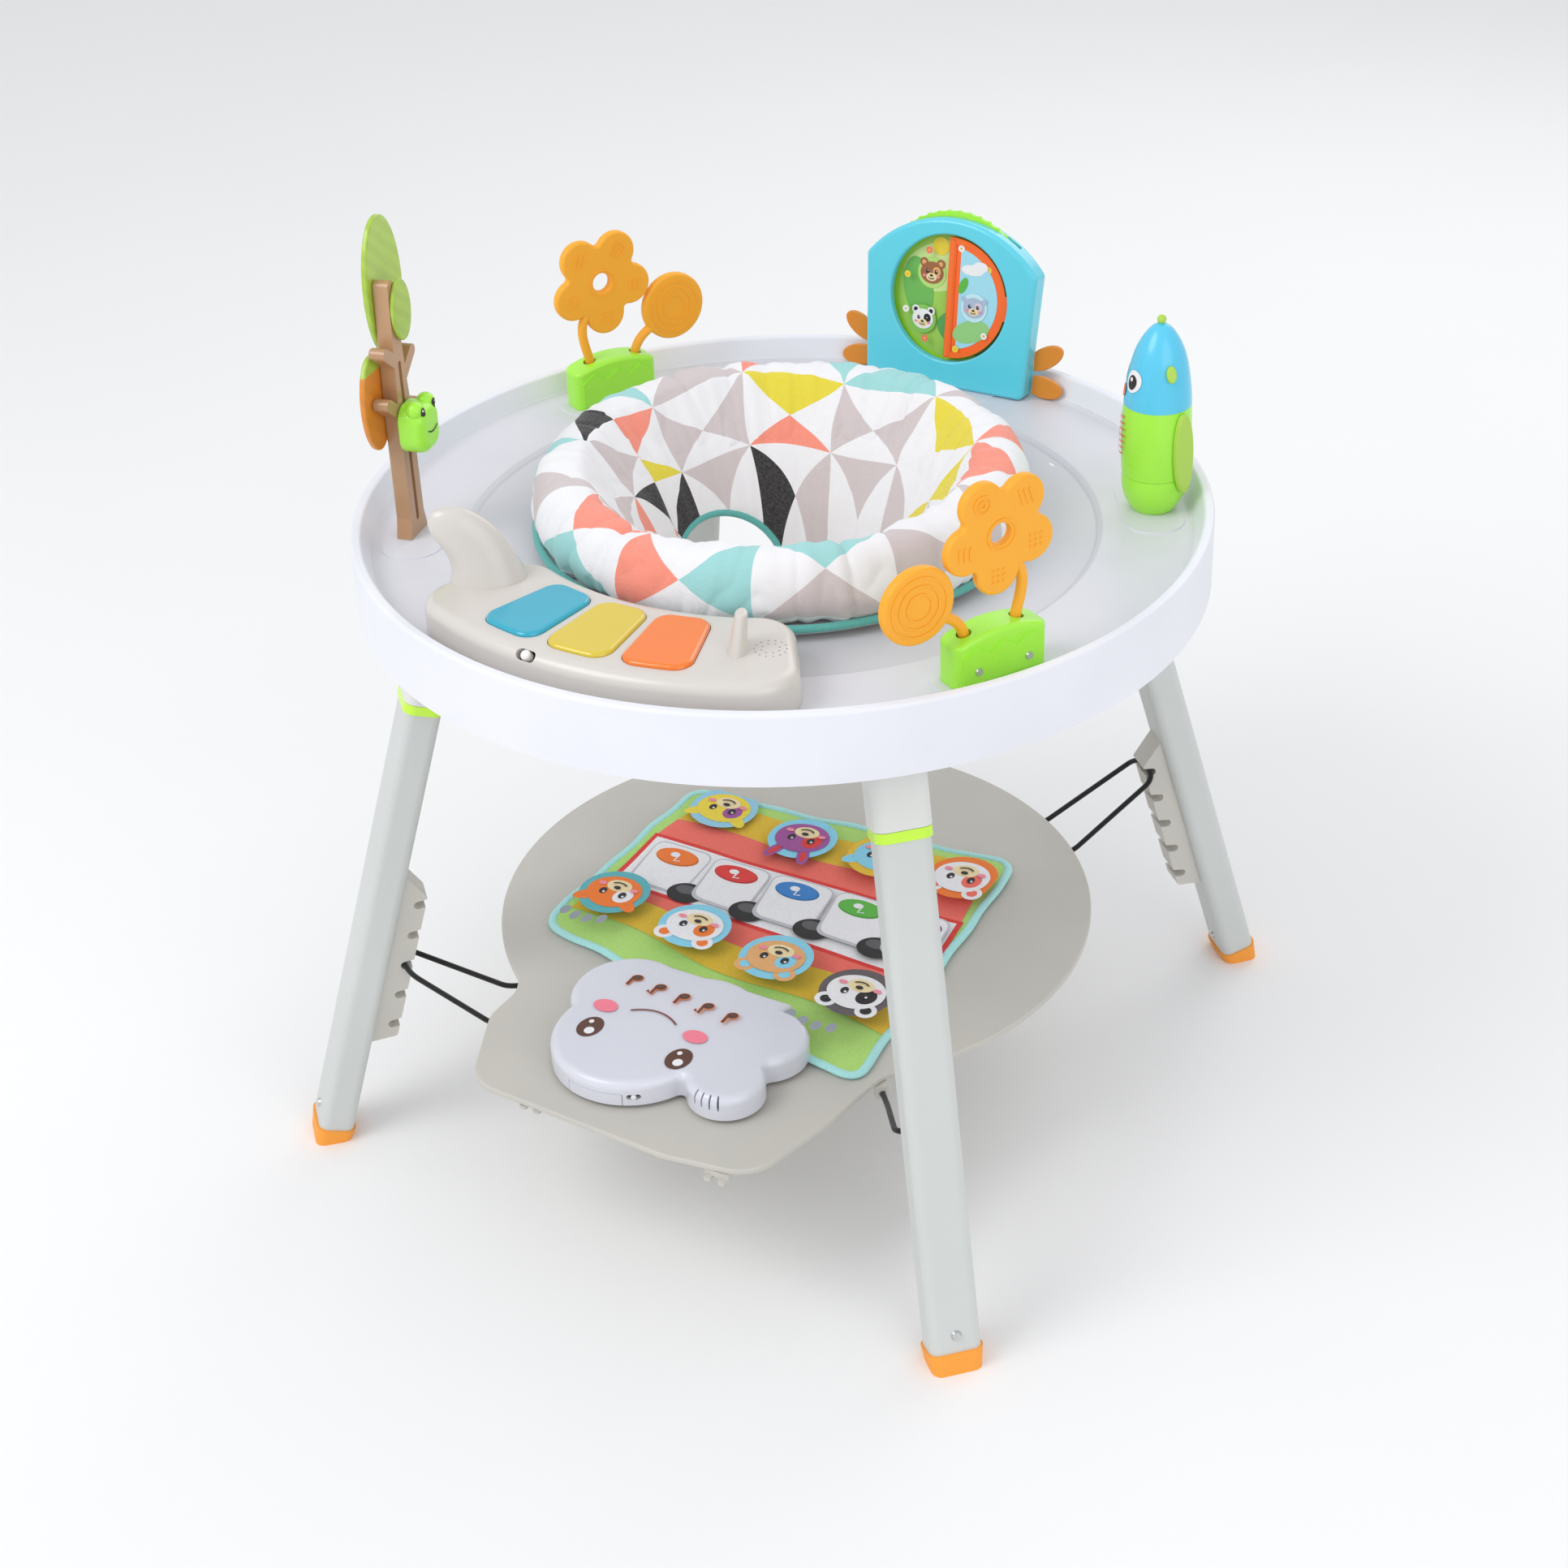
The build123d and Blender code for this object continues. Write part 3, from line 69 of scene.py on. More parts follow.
# ---- materials
class Nodes:
    """A material's node tree with short calls for the nodes used here."""

    def __init__(self, name):
        self.material = bpy.data.materials.new(name)
        self.material.use_nodes = True
        self.tree = self.material.node_tree
        self.shader = self.tree.nodes["Principled BSDF"]
        self.coords = self.tree.nodes.new("ShaderNodeTexCoord").outputs["Object"]

    def plug(self, socket, value):
        if isinstance(value, bpy.types.NodeSocket):
            self.tree.links.new(value, socket)
        elif isinstance(value, tuple) and len(value) == 3 and socket.type == "RGBA":
            socket.default_value = (*value, 1)
        else:
            socket.default_value = value

    def make(self, kind, inputs, output, **settings):
        """One output of a new node, with its settings and its inputs given."""
        node = self.tree.nodes.new("ShaderNode" + kind)
        for name, value in settings.items():
            setattr(node, name, value)
        for name, value in inputs.items():
            self.plug(node.inputs[name], value)
        return node.outputs[output]

    def math(self, operation, *values):
        return self.make("Math", dict(enumerate(values)), 0, operation=operation)

    def noise(self, scale, detail=3.0):
        return self.make("TexNoise", {"Scale": scale, "Detail": detail, "Vector": self.coords}, "Fac")

    def wave(self, scale, direction):
        return self.make("TexWave", {"Scale": scale, "Distortion": 0.6, "Vector": self.coords}, "Fac",
                         bands_direction=direction)

    def mix(self, factor, first, second):
        return self.make("Mix", {"Factor": factor, "A": first, "B": second}, "Result", data_type="RGBA")

    def spread(self, value, low, high):
        """Stretches a noise's usual range to low and high."""
        inputs = {"Value": value, "From Min": 0.3, "From Max": 0.7, "To Min": low, "To Max": high}
        return self.make("MapRange", inputs, "Result")

    def steps(self, value, stops):
        node = self.tree.nodes.new("ShaderNodeValToRGB")
        ramp = node.color_ramp
        ramp.interpolation = "CONSTANT"
        for place, color in stops[1:]:
            ramp.elements.new(place).color = (*color, 1)
        ramp.elements[0].color = (*stops[0][1], 1)
        last = ramp.elements[-1]
        if last.position > 0.999:
            ramp.elements.remove(last)
        self.plug(node.inputs["Fac"], value)
        return node.outputs["Color"]

    def split(self, vector=None):
        node = self.tree.nodes.new("ShaderNodeSeparateXYZ")
        self.plug(node.inputs[0], vector or self.coords)
        return node.outputs

    def radius(self, x, y):
        """Distance from the object's axis."""
        return self.math("SQRT", self.math("ADD", self.math("POWER", x, 2.0), self.math("POWER", y, 2.0)))

    def bump(self, height, strength, distance, below=None):
        inputs = {"Strength": strength, "Distance": distance, "Height": height}
        if below:
            inputs["Normal"] = below
        return self.make("Bump", inputs, "Normal")

    def set(self, **values):
        for name, value in values.items():
            self.plug(self.shader.inputs[name.replace("_", " ")], value)


def shade(color, factor):
    return tuple(min(1.0, channel * factor) for channel in color)


def plastic(name, color, rough=0.36, texture=0.10, mottle=0.035, **more):
    """Moulded plastic: faint colour drift, uneven gloss, fine mould texture and hairline scuffs."""
    nodes = Nodes(name)
    drift = nodes.spread(nodes.noise(7.0, 4.0), 0.0, 1.0)
    nodes.set(Base_Color=nodes.mix(drift, shade(color, 1 - mottle), shade(color, 1 + mottle)))
    smear = nodes.spread(nodes.noise(55.0, 5.0), rough - 0.015, rough + 0.03)
    nodes.set(Roughness=smear)
    skin = nodes.bump(nodes.noise(1700.0, 2.0), texture, 0.0004)
    scuffs = nodes.noise(260.0, 6.0)
    nodes.set(Normal=nodes.bump(scuffs, texture * 0.10, 0.0002, skin), **more)
    return nodes


def cloth(name, color, weave=330.0, rough=0.85, sheen=0.25, depth=0.35):
    """Woven polyester: crossed threads, a little sheen and colour that drifts with the yarn."""
    nodes = Nodes(name)
    threads = nodes.math("MULTIPLY", nodes.wave(weave, "X"), nodes.wave(weave, "Y"))
    yarn = nodes.spread(nodes.noise(420.0, 3.0), 0.0, 1.0)
    if isinstance(color, tuple):
        nodes.set(Base_Color=nodes.mix(yarn, shade(color, 0.94), shade(color, 1.04)))
    nodes.set(Roughness=nodes.spread(nodes.noise(90.0), rough - 0.06, rough + 0.08))
    slubs = nodes.bump(nodes.noise(900.0, 4.0), depth * 0.6, 0.0005)
    nodes.set(Normal=nodes.bump(threads, depth, 0.0005, slubs))
    nodes.set(Sheen_Weight=sheen, Sheen_Roughness=0.5, Specular_IOR_Level=0.25)
    return nodes


def printed(name, around, across, middle, centre_z):
    """Cloth with the triangle print: cells cut by both diagonals, every other triangle white."""
    nodes = cloth(name, None)
    calc = nodes.math
    x, y, z = nodes.split(nodes.make("Attribute", {}, "Vector", attribute_name="laid_flat"))[0:3]
    turn = calc("DIVIDE", calc("ARCTAN2", y, x), 2 * math.pi)
    out = calc("SUBTRACT", nodes.radius(x, y), middle)
    up = calc("SUBTRACT", z, centre_z)
    section = calc("DIVIDE", calc("ARCTAN2", out, up), 2 * math.pi)
    sway = calc("SINE", calc("MULTIPLY", section, 11.0))
    column = calc("ADD", calc("MULTIPLY", turn, float(around)), calc("MULTIPLY", sway, 0.05))
    swing = calc("SINE", calc("MULTIPLY", turn, 2 * math.pi * 5))
    row = calc("ADD", calc("MULTIPLY", section, across), calc("MULTIPLY", swing, 0.07))
    cell_x = calc("FLOOR", column)
    cell_y = calc("FLOOR", row)
    in_x = calc("SUBTRACT", column, cell_x)
    in_y = calc("SUBTRACT", row, cell_y)
    first = calc("GREATER_THAN", in_x, in_y)
    second = calc("GREATER_THAN", calc("ADD", in_x, in_y), 1.0)
    side = calc("ABSOLUTE", calc("SUBTRACT", first, second))
    checker = calc("FLOORED_MODULO", calc("ADD", cell_x, cell_y), 2.0)
    colored = calc("ABSOLUTE", calc("SUBTRACT", side, checker))
    triangle = nodes.make("CombineXYZ", {0: calc("FLOORED_MODULO", cell_x, float(around)), 1: cell_y,
                                         2: calc("ADD", first, calc("MULTIPLY", second, 2.0))}, 0)
    ink = nodes.steps(nodes.make("TexWhiteNoise", {"Vector": triangle}, "Value"), PRINT)
    soft = nodes.spread(nodes.noise(500.0, 2.0), 0.0, 1.0)
    nodes.set(Base_Color=nodes.mix(calc("MULTIPLY", soft, 0.06), nodes.mix(colored, WHITE, ink), WHITE))
    return nodes


TRAY_WALL_RADIUS, TRACK_RADIUS = 0.3655, 0.280


def tray_material():
    """White tray: smooth outside, with painted shade that makes it greyer where the floor and track face up."""
    nodes = plastic("tray_plastic", (0.80, 0.81, 0.87), rough=0.42, texture=0.08)
    radius = nodes.radius(*nodes.split()[0:2])
    normal = nodes.tree.nodes.new("ShaderNodeNewGeometry").outputs["Normal"]
    # painted shade: faces that look up inside the tray wall are greyer, and greyer still inside the track
    facing_up = nodes.math("GREATER_THAN", nodes.split(normal)[2], 0.6)
    inside = nodes.math("MULTIPLY", facing_up, nodes.math("LESS_THAN", radius, TRAY_WALL_RADIUS))
    track = nodes.math("MULTIPLY", facing_up, nodes.math("LESS_THAN", radius, TRACK_RADIUS))
    floor = nodes.mix(nodes.spread(nodes.noise(12.0), 0.0, 1.0), shade(FLOOR_SHADE_AND_TRACK_GREY, 0.98),
                      shade(FLOOR_SHADE_AND_TRACK_GREY, 1.03))
    base = nodes.shader.inputs["Base Color"].links[0].from_socket
    base = nodes.mix(inside, base, floor)
    nodes.set(Base_Color=nodes.mix(track, base, shade(FLOOR_SHADE_AND_TRACK_GREY, 0.93)))
    return nodes


def metal(name, color, rough):
    nodes = Nodes(name)
    nodes.set(Base_Color=nodes.mix(nodes.noise(300.0, 4.0), shade(color, 0.85), shade(color, 1.1)), Metallic=1.0)
    nodes.set(Roughness=nodes.spread(nodes.noise(500.0), rough - 0.06, rough + 0.12))
    nodes.set(Normal=nodes.bump(nodes.noise(1200.0, 5.0), 0.1, 0.0002))
    return nodes


COAT = {"Coat_Weight": 0.35, "Coat_Roughness": 0.12}
GLOSS = {"Coat_Weight": 0.6, "Coat_Roughness": 0.05}
finishes = {
    "tray": tray_material(),
    "track": plastic("track_plastic", shade(FLOOR_SHADE_AND_TRACK_GREY, 1.1), 0.5),
    "leg": plastic("leg_powder_coat", (0.61, 0.635, 0.62), 0.45, texture=0.3, mottle=0.02),
    "socket": plastic("socket_plastic", (0.74, 0.75, 0.72), 0.5, texture=0.2),
    "lime": plastic("lime_plastic", (0.58, 0.95, 0.05), 0.3, **COAT),
    "foot": plastic("foot_rubber", (0.95, 0.36, 0.04), 0.6, texture=0.35),
    "rail": plastic("rail_plastic", (0.58, 0.56, 0.51), 0.5, texture=0.25),
    "steel": metal("screw_steel", (0.62, 0.62, 0.63), 0.28),
    "seat": plastic("seat_plastic", (0.72, 0.72, 0.75), 0.45),
    "board": plastic("board_plastic", (0.56, 0.54, 0.49), 0.55, texture=0.3),
    "cloud": plastic("cloud_plastic", (0.68, 0.69, 0.76), 0.30, **COAT),
    "piano": plastic("piano_plastic", (0.65, 0.615, 0.575), 0.30, mottle=0.02, **COAT),
    "key_blue": plastic("key_blue_plastic", (0.015, 0.38, 0.53), 0.14, 0.04, **GLOSS),
    "key_yellow": plastic("key_yellow_plastic", (0.68, 0.52, 0.03), 0.14, 0.04, **GLOSS),
    "key_orange": plastic("key_orange_plastic", (0.88, 0.19, 0.008), 0.14, 0.04, **GLOSS),
    "switch": plastic("switch_plastic", (0.80, 0.79, 0.77), 0.28),
    "circuit": plastic("circuit_lacquer", (0.03, 0.20, 0.08), 0.4, texture=0.3),
    "black": plastic("black_plastic", BLACK, 0.5),
    "rubber_grey": plastic("pad_rubber", (0.30, 0.30, 0.30), 0.7),
    "box": plastic("box_plastic", (0.11, 0.64, 0.79), 0.24, **COAT),
    "wheel": plastic("wheel_plastic", (0.40, 0.85, 0.05), 0.3),
    "page": plastic("page_plastic", (1.0, 0.15, 0.01), 0.3, **COAT),
    "petal": plastic("petal_plastic", (0.72, 0.25, 0.02), 0.4),
    "green": plastic("toy_green_plastic", (0.38, 0.88, 0.05), 0.28, **COAT),
    "head": plastic("head_blue_plastic", (0.09, 0.58, 0.84), 0.26, **COAT),
    "wing": plastic("wing_plastic", (0.42, 0.66, 0.08), 0.4),
    "bark": plastic("bark_plastic", (0.54, 0.31, 0.16), 0.22, mottle=0.14, Transmission_Weight=0.12, **COAT),
    "teether": plastic("teether_rubber", (0.95, 0.42, 0.02), 0.42, texture=0.2, Subsurface_Weight=0.15,
                       Subsurface_Radius=(0.004, 0.002, 0.001)),
}


def leaf_material():
    """Clear tinted leaves: the green crown and the orange ones, told apart by their height."""
    nodes = plastic("leaf_plastic", LEAF, 0.25, Transmission_Weight=0.25, **COAT)
    low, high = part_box("tree_leaves")
    z = nodes.split()[2]
    crown = nodes.math("GREATER_THAN", z, low.z + 0.52 * (high.z - low.z) - 0.03)
    veins = nodes.spread(nodes.wave(40.0, "DIAGONAL"), 0.0, 1.0)
    green = nodes.mix(nodes.math("MULTIPLY", veins, 0.3), LEAF, shade(LEAF, 0.72))
    orange = nodes.mix(nodes.math("MULTIPLY", veins, 0.3), LEAF_ORANGE, shade(LEAF_ORANGE, 0.8))
    nodes.set(Base_Color=nodes.mix(crown, orange, green))
    return nodes


finishes["leaf"] = leaf_material()
# the CAD nodes that take each finish
LOOKS = {
    "tray": "tray_shell toy_plates", "track": "seat_bearing_ring seat_glides", "socket": "leg_sockets",
    "steel": "socket_screws foot_bolts teether_screws", "lime": "leg_trim_rings", "foot": "foot_caps",
    "seat": "seat_ring seat_retainer_ring", "board": "footboard",
    "cloud": "cloud_cover cloud_base cloud_battery_door", "circuit": "cloud_circuit_board piano_circuit_board",
    "black": "cloud_speaker piano_speaker", "switch": "cloud_switch piano_switch",
    "piano": "piano_cover piano_base", "key_blue": "piano_key_blue", "key_yellow": "piano_key_yellow",
    "key_orange": "piano_key_orange", "rubber_grey": "piano_contact_pads",
    "box": "picture_box_front picture_box_back", "wheel": "picture_wheel", "page": "flip_page",
    "petal": "box_petals", "green": "bird_base bird_body frog_slider teether_base_back teether_base_front",
    "head": "bird_head", "wing": "bird_trims", "bark": "tree_trunk", "leaf": "tree_leaves",
    "teether": "teether_back teether_front",
    "leg": "leg_tube_front_left leg_tube_front_right leg_tube_back_right leg_tube_back_left",
    "rail": "hook_rail_front_left hook_rail_front_right hook_rail_back_right hook_rail_back_left",
}
for look, nodes in LOOKS.items():
    for node in nodes.split():
        for material_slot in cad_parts[node].material_slots:
            material_slot.material = finishes[look].material


# ---- mesh helpers
def mesh_object(name, vertices, faces, materials, smooth=True):
    mesh = bpy.data.meshes.new(name)
    mesh.from_pydata([tuple(v) for v in vertices], [], faces)
    mesh.validate()
    mesh.update()
    for material in materials:
        mesh.materials.append(material)
    if smooth:
        mesh.shade_smooth()
    piece = bpy.data.objects.new(name, mesh)
    bpy.context.scene.collection.objects.link(piece)
    return piece


def turns(count):
    """Angles of a full circle in even steps."""
    return [2 * math.pi * step / count for step in range(count)]


def around_axis(radius, angle, height=0.0):
    return Vector((radius * math.cos(angle), radius * math.sin(angle), height))


def grid(rows, columns, first=0, wrap_rows=False, wrap_columns=True, flip=False):
    """Faces of a grid of points that lie row by row."""
    faces = []
    for row in range(rows if wrap_rows else rows - 1):
        here, follow = first + row * columns, first + (row + 1) % rows * columns
        for step in range(columns if wrap_columns else columns - 1):
            beside = (step + 1) % columns
            faces.append((here + step, follow + step, follow + beside, here + beside) if flip
                         else (here + step, here + beside, follow + beside, follow + step))
    return faces


def attach(piece, body):
    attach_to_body(piece, body)


def clean_normals(piece, weld=None):
    """Turns all faces outwards; weld also drops loose points and edges shorter than this."""
    bm = bmesh.new()
    bm.from_mesh(piece.data)
    if weld:
        bmesh.ops.delete(bm, geom=[v for v in bm.verts if not v.link_faces], context="VERTS")
        bmesh.ops.dissolve_degenerate(bm, dist=weld, edges=bm.edges)
    bmesh.ops.recalc_face_normals(bm, faces=bm.faces)
    bm.to_mesh(piece.data)
    bm.free()


def tube(points, radius, closed=False, sides=14, squeeze=1.0):
    """Vertices and faces of a round tube along the points; squeeze flattens it in height."""
    count = len(points)
    vertices = []
    frame_up = UP
    for index, point in enumerate(points):
        after = points[(index + 1) % count] if closed or index < count - 1 else point
        before = points[index - 1] if closed or index > 0 else point
        along = (Vector(after) - Vector(before)).normalized()
        if abs(along.dot(frame_up)) > 0.98:
            frame_up = Vector((1, 0, 0))
        across = along.cross(frame_up).normalized()
        frame_up = across.cross(along).normalized()
        for angle in turns(sides):
            offset = across * math.cos(angle) * radius + frame_up * math.sin(angle) * radius * squeeze
            vertices.append(Vector(point) + offset)
    faces = grid(count, sides, wrap_rows=closed)
    if not closed:
        faces.append(tuple(reversed(range(sides))))
        faces.append(tuple((count - 1) * sides + side for side in range(sides)))
    return vertices, faces


def modified(piece):
    """Applies the piece's modifiers to its mesh."""
    graph = bpy.context.evaluated_depsgraph_get()
    mesh = bpy.data.meshes.new_from_object(piece.evaluated_get(graph))
    piece.modifiers.clear()
    old = piece.data
    piece.data = mesh
    bpy.data.meshes.remove(old)
    mesh.shade_smooth()


def subdivide(piece, levels=1):
    modifier = piece.modifiers.new("rounding", "SUBSURF")
    modifier.levels = levels
    modifier.render_levels = levels
    modified(piece)


# ---- seat cushion
low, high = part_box("seat_cushion")
RING_CENTRE_Z = (low.z + high.z) / 2
RING_HALF_HEIGHT = (high.z - low.z) / 2
# the print turns about a circle under the middle of the padded rim
PRINT_RADIUS, PRINT_Z = 0.172, 0.585
seat_print = printed("seat_print", 11, 4.3, PRINT_RADIUS, PRINT_Z).material
AROUND = 144
VOXEL, SWELL_CAP = 0.005, 0.004
SEAM_DEPTH, SEAM_WIDTH = 0.0022, 0.0035
FINE_GATHER, SOFT_CREASE = 0.0035, 0.0040
BINDING_RADIUS, BINDING_THICK = 0.2182, 0.0036
# distance from the axis and height over the seat ring: up the outside, over the rim, down inside
RIM_SECTION = [(0.2060, 0.0010), (0.2180, 0.0070), (0.2215, 0.0220), (0.2200, 0.0400), (0.2140, 0.0560),
               (0.2040, 0.0680), (0.1930, 0.0710), (0.1810, 0.0660), (0.1690, 0.0530), (0.1570, 0.0370),
               (0.1460, 0.0220), (0.1370, 0.0090), (0.1360, 0.0020), (0.1500, 0.0010), (0.1800, 0.0010)]


def smooth_run(spots, parts, closed):
    """Catmull-Rom run of points through the given ones."""
    count = len(spots)
    run = []
    for index in range(count if closed else count - 1):
        if closed:
            before, start, end, after = (spots[(index + k) % count] for k in (-1, 0, 1, 2))
        else:
            before, start, end, after = (spots[min(max(index + k, 0), count - 1)] for k in (-1, 0, 1, 2))
        for step in range(parts):
            t = step / parts
            run.append(0.5 * ((2 * start) + (end - before) * t + (2 * before - 5 * start + 4 * end - after) * t * t
                              + (3 * start - before - 3 * end + after) * t ** 3))
    return run if closed else run + [spots[-1]]


rim_section = smooth_run([Vector(spot) for spot in RIM_SECTION], 3, closed=True)


def ring_point(turn, section):
    """A point of the padded rim; it stands highest at the back and sags a little at the front."""
    radius, rise = section
    stand = 1 - 0.10 * max(0.0, -math.sin(turn)) + 0.02 * math.sin(5 * turn + 1)
    return around_axis(radius, turn, low.z + rise * stand)


vertices = [ring_point(turn, spot) for turn in turns(AROUND) for spot in rim_section]
faces = grid(AROUND, len(rim_section), wrap_rows=True)
cushion = mesh_object("seat_cushion_cover", vertices, faces, [seat_print])
clean_normals(cushion)


def puff(piece, voxel, cap, frames=20):
    """Fills the padded cover with air: remesh, a short cloth simulation, and a cap on how far it swells."""
    remesh = piece.modifiers.new("even", "REMESH")
    remesh.mode = "VOXEL"
    remesh.voxel_size = voxel
    modified(piece)
    rest = [v.co.copy() for v in piece.data.vertices]
    simulation = piece.modifiers.new("air", "CLOTH")
    settings = simulation.settings
    settings.use_pressure = True
    settings.uniform_pressure_force = 4.0
    settings.effector_weights.gravity = 0.0
    settings.quality = 5
    settings.tension_stiffness = 8
    settings.compression_stiffness = 4
    settings.bending_stiffness = 0.3
    simulation.point_cache.frame_start = 1
    simulation.point_cache.frame_end = frames
    for step in range(1, frames + 1):
        bpy.context.scene.frame_set(step)
    modified(piece)
    for vertex, start in zip(piece.data.vertices, rest):
        move = vertex.co - start
        if move.length > cap:
            vertex.co = start + move * (cap / move.length)
    bpy.context.scene.frame_set(1)


puff(cushion, VOXEL, SWELL_CAP)
subdivide(cushion)


def keep_print(piece):
    """Remembers where each point is before it is creased, so that the print stays straight on the cloth."""
    mesh = piece.data
    laid = mesh.attributes.new("laid_flat", "FLOAT_VECTOR", "POINT")
    laid.data.foreach_set("vector", [value for vertex in mesh.vertices for value in vertex.co])


def fold(angle, height):
    """Gathers and creases: fine ones at the seams, long soft ones over the top."""
    gather = noise.noise(Vector((angle * 14, 0.0, height * 6)))
    crease = noise.noise(Vector((angle * 4.2 + height * 9, 3.0, height * 14)))
    sharp = 1 - abs(noise.noise(Vector((angle * 7 - height * 5, 9.0, height * 10)))) * 2
    return gather, crease, sharp ** 3


def wrinkle(piece, fine, soft, seams=()):
    """Moves the cover in and out along its normals for gathers, creases and sewn seams."""
    mesh = piece.data
    normals = [v.normal.copy() for v in mesh.vertices]
    for vertex, normal in zip(mesh.vertices, normals):
        angle = math.atan2(vertex.co.y, vertex.co.x)
        height = vertex.co.z - RING_CENTRE_Z
        near_seam = min(1.0, abs(height) / RING_HALF_HEIGHT) ** 2 if normal.z < 0.5 else 0.25
        gather, crease, sharp = fold(angle, height)
        move = fine * gather * (0.3 + near_seam) + soft * crease - soft * 0.55 * sharp
        for seam in seams:
            away = abs(math.remainder(angle - seam, 2 * math.pi)) * math.hypot(vertex.co.x, vertex.co.y)
            move -= SEAM_DEPTH * math.exp(-(away / SEAM_WIDTH) ** 2)
        vertex.co += normal * move
    mesh.update()


SEAMS = [math.radians(-165 + 60 * number) for number in range(6)]
keep_print(cushion)
wrinkle(cushion, FINE_GATHER, SOFT_CREASE, SEAMS)
for vertex in cushion.data.vertices:
    vertex.co.z = max(vertex.co.z, low.z + 0.0004)
attach(cushion, "seat")
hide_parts("seat_cushion")

teal_cloth = cloth("teal_binding", (0.12, 0.45, 0.42), depth=0.3).material
binding_points = [around_axis(BINDING_RADIUS, turn, low.z + 0.0042 + 0.0004 * math.sin(9 * turn))
                  for turn in turns(160)]
vertices, faces = tube(binding_points, BINDING_THICK, closed=True)
binding = mesh_object("seat_binding", vertices, faces, [teal_cloth])
attach(binding, "seat")

# ---- seat sling
# radius and height, from under the padded rim down to the middle of the bowl
SLING_PROFILE = [(0.163, 0.619), (0.1465, 0.6065), (0.1355, 0.593), (0.127, 0.577), (0.1195, 0.560),
                 (0.112, 0.540), (0.105, 0.510), (0.096, 0.480), (0.082, 0.455), (0.062, 0.434),
                 (0.034, 0.4235), (0.0, 0.4205)]
# the leg holes' axes start near the middle, one on each side of the way that the child faces, and lean down
HEADING, HOLE_SPREAD = -157.0, 45.0
HOLE_RADIUS, HOLE_HEIGHT, HOLE_TILT = 0.060, 0.508, -0.42
HOLE_START = 0.040
HOLE_EDGE = HOLE_RADIUS + 0.0005
profile = smooth_run([Vector((r, 0, z)) for r, z in SLING_PROFILE], 8, closed=False)
PANELS = 180
vertices = [around_axis(spot.x, angle, spot.z) for spot in profile[:-1] for angle in turns(PANELS)]
bottom = len(vertices)
vertices.append(Vector((0, 0, profile[-1].z)))
faces = grid(len(profile) - 1, PANELS, flip=True)
last = bottom - PANELS
faces += [(last + step, bottom, last + (step + 1) % PANELS) for step in range(PANELS)]
holes = []
for side in (-1, 1):
    way = math.radians(HEADING + side * HOLE_SPREAD)
    start = around_axis(HOLE_START, way, HOLE_HEIGHT)
    axis = Vector((math.cos(way), math.sin(way), HOLE_TILT)).normalized()
    holes.append((start, axis))


def from_axis(point, hole):
    """Distance from the leg hole's axis, and how far out along it."""
    start, axis = hole
    along = (point - start).dot(axis)
    return (point - start - axis * along).length, along


def in_hole(point):
    return any(away < HOLE_RADIUS and along > 0 for away, along in (from_axis(point, hole) for hole in holes))


kept = [face for face in faces if not all(in_hole(vertices[index]) for index in face)]
for hole in holes:
    start, axis = hole
    for index, vertex in enumerate(vertices):
        away, along = from_axis(vertex, hole)
        if along > 0 and away < HOLE_EDGE:
            centre = start + axis * along
            vertices[index] = centre + (vertex - centre) * (HOLE_EDGE / max(away, 1e-5))
sling = mesh_object("seat_sling_cover", vertices, kept, [seat_print])
clean_normals(sling, weld=0.0002)
keep_print(sling)
for vertex, normal in [(v, v.normal.copy()) for v in sling.data.vertices]:
    angle = math.atan2(vertex.co.y, vertex.co.x)
    height = vertex.co.z - RING_CENTRE_Z
    gather, crease, sharp = fold(angle, height * 0.4)
    if all(abs(from_axis(vertex.co, hole)[0] - HOLE_RADIUS) > 0.006 for hole in holes):
        vertex.co += normal * (0.0016 * gather + 0.0022 * crease)
thick = sling.modifiers.new("padding", "SOLIDIFY")
thick.thickness = 0.0024
thick.offset = 0.0
modified(sling)
attach(sling, "seat")
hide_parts("seat_sling")


def bowl_radius(z):
    for upper, lower in zip(profile, profile[1:]):
        if lower.z <= z <= upper.z:
            part = (z - lower.z) / max(upper.z - lower.z, 1e-9)
            return lower.x + (upper.x - lower.x) * part
    return 0.0


for number, (start, axis) in enumerate(holes):
    across = axis.cross(UP).normalized()
    upward = across.cross(axis)
    edge = []
    for angle in turns(96):
        lean = across * math.cos(angle) * HOLE_EDGE + upward * math.sin(angle) * HOLE_EDGE
        reach = 0.0
        while reach < 0.11:
            point = start + lean + axis * reach
            if math.hypot(point.x, point.y) >= bowl_radius(point.z):
                break
            reach += 0.0004
        edge.append(start + lean + axis * reach)
    vertices, faces = tube(edge, 0.0034, closed=True)
    piping = mesh_object(f"leg_hole_piping_{number}", vertices, faces, [teal_cloth])
    attach(piping, "seat")

# ---- play mat
mat_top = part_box("play_mat")[1].z
MAT_CORNERS = ((-0.186, 0.118), (-0.195, -0.150), (0.186, -0.229), (0.170, 0.142))
MAT_ROUND, MAT_PIPING, MAT_THICKNESS = 0.022, 0.0042, 0.0022
OUTLINE_STEP = 0.005


def rounded(corners, radius, steps=8):
    """Outline of a polygon with rounded corners."""
    outline = []
    count = len(corners)
    for index in range(count):
        here = Vector(corners[index])
        to_last = (Vector(corners[index - 1]) - here).normalized()
        to_next = (Vector(corners[(index + 1) % count]) - here).normalized()
        for step in range(steps + 1):
            t = step / steps
            start = here + to_last * radius
            end = here + to_next * radius
            outline.append(start * (1 - t) ** 2 + here * 2 * t * (1 - t) + end * t * t)
    return outline


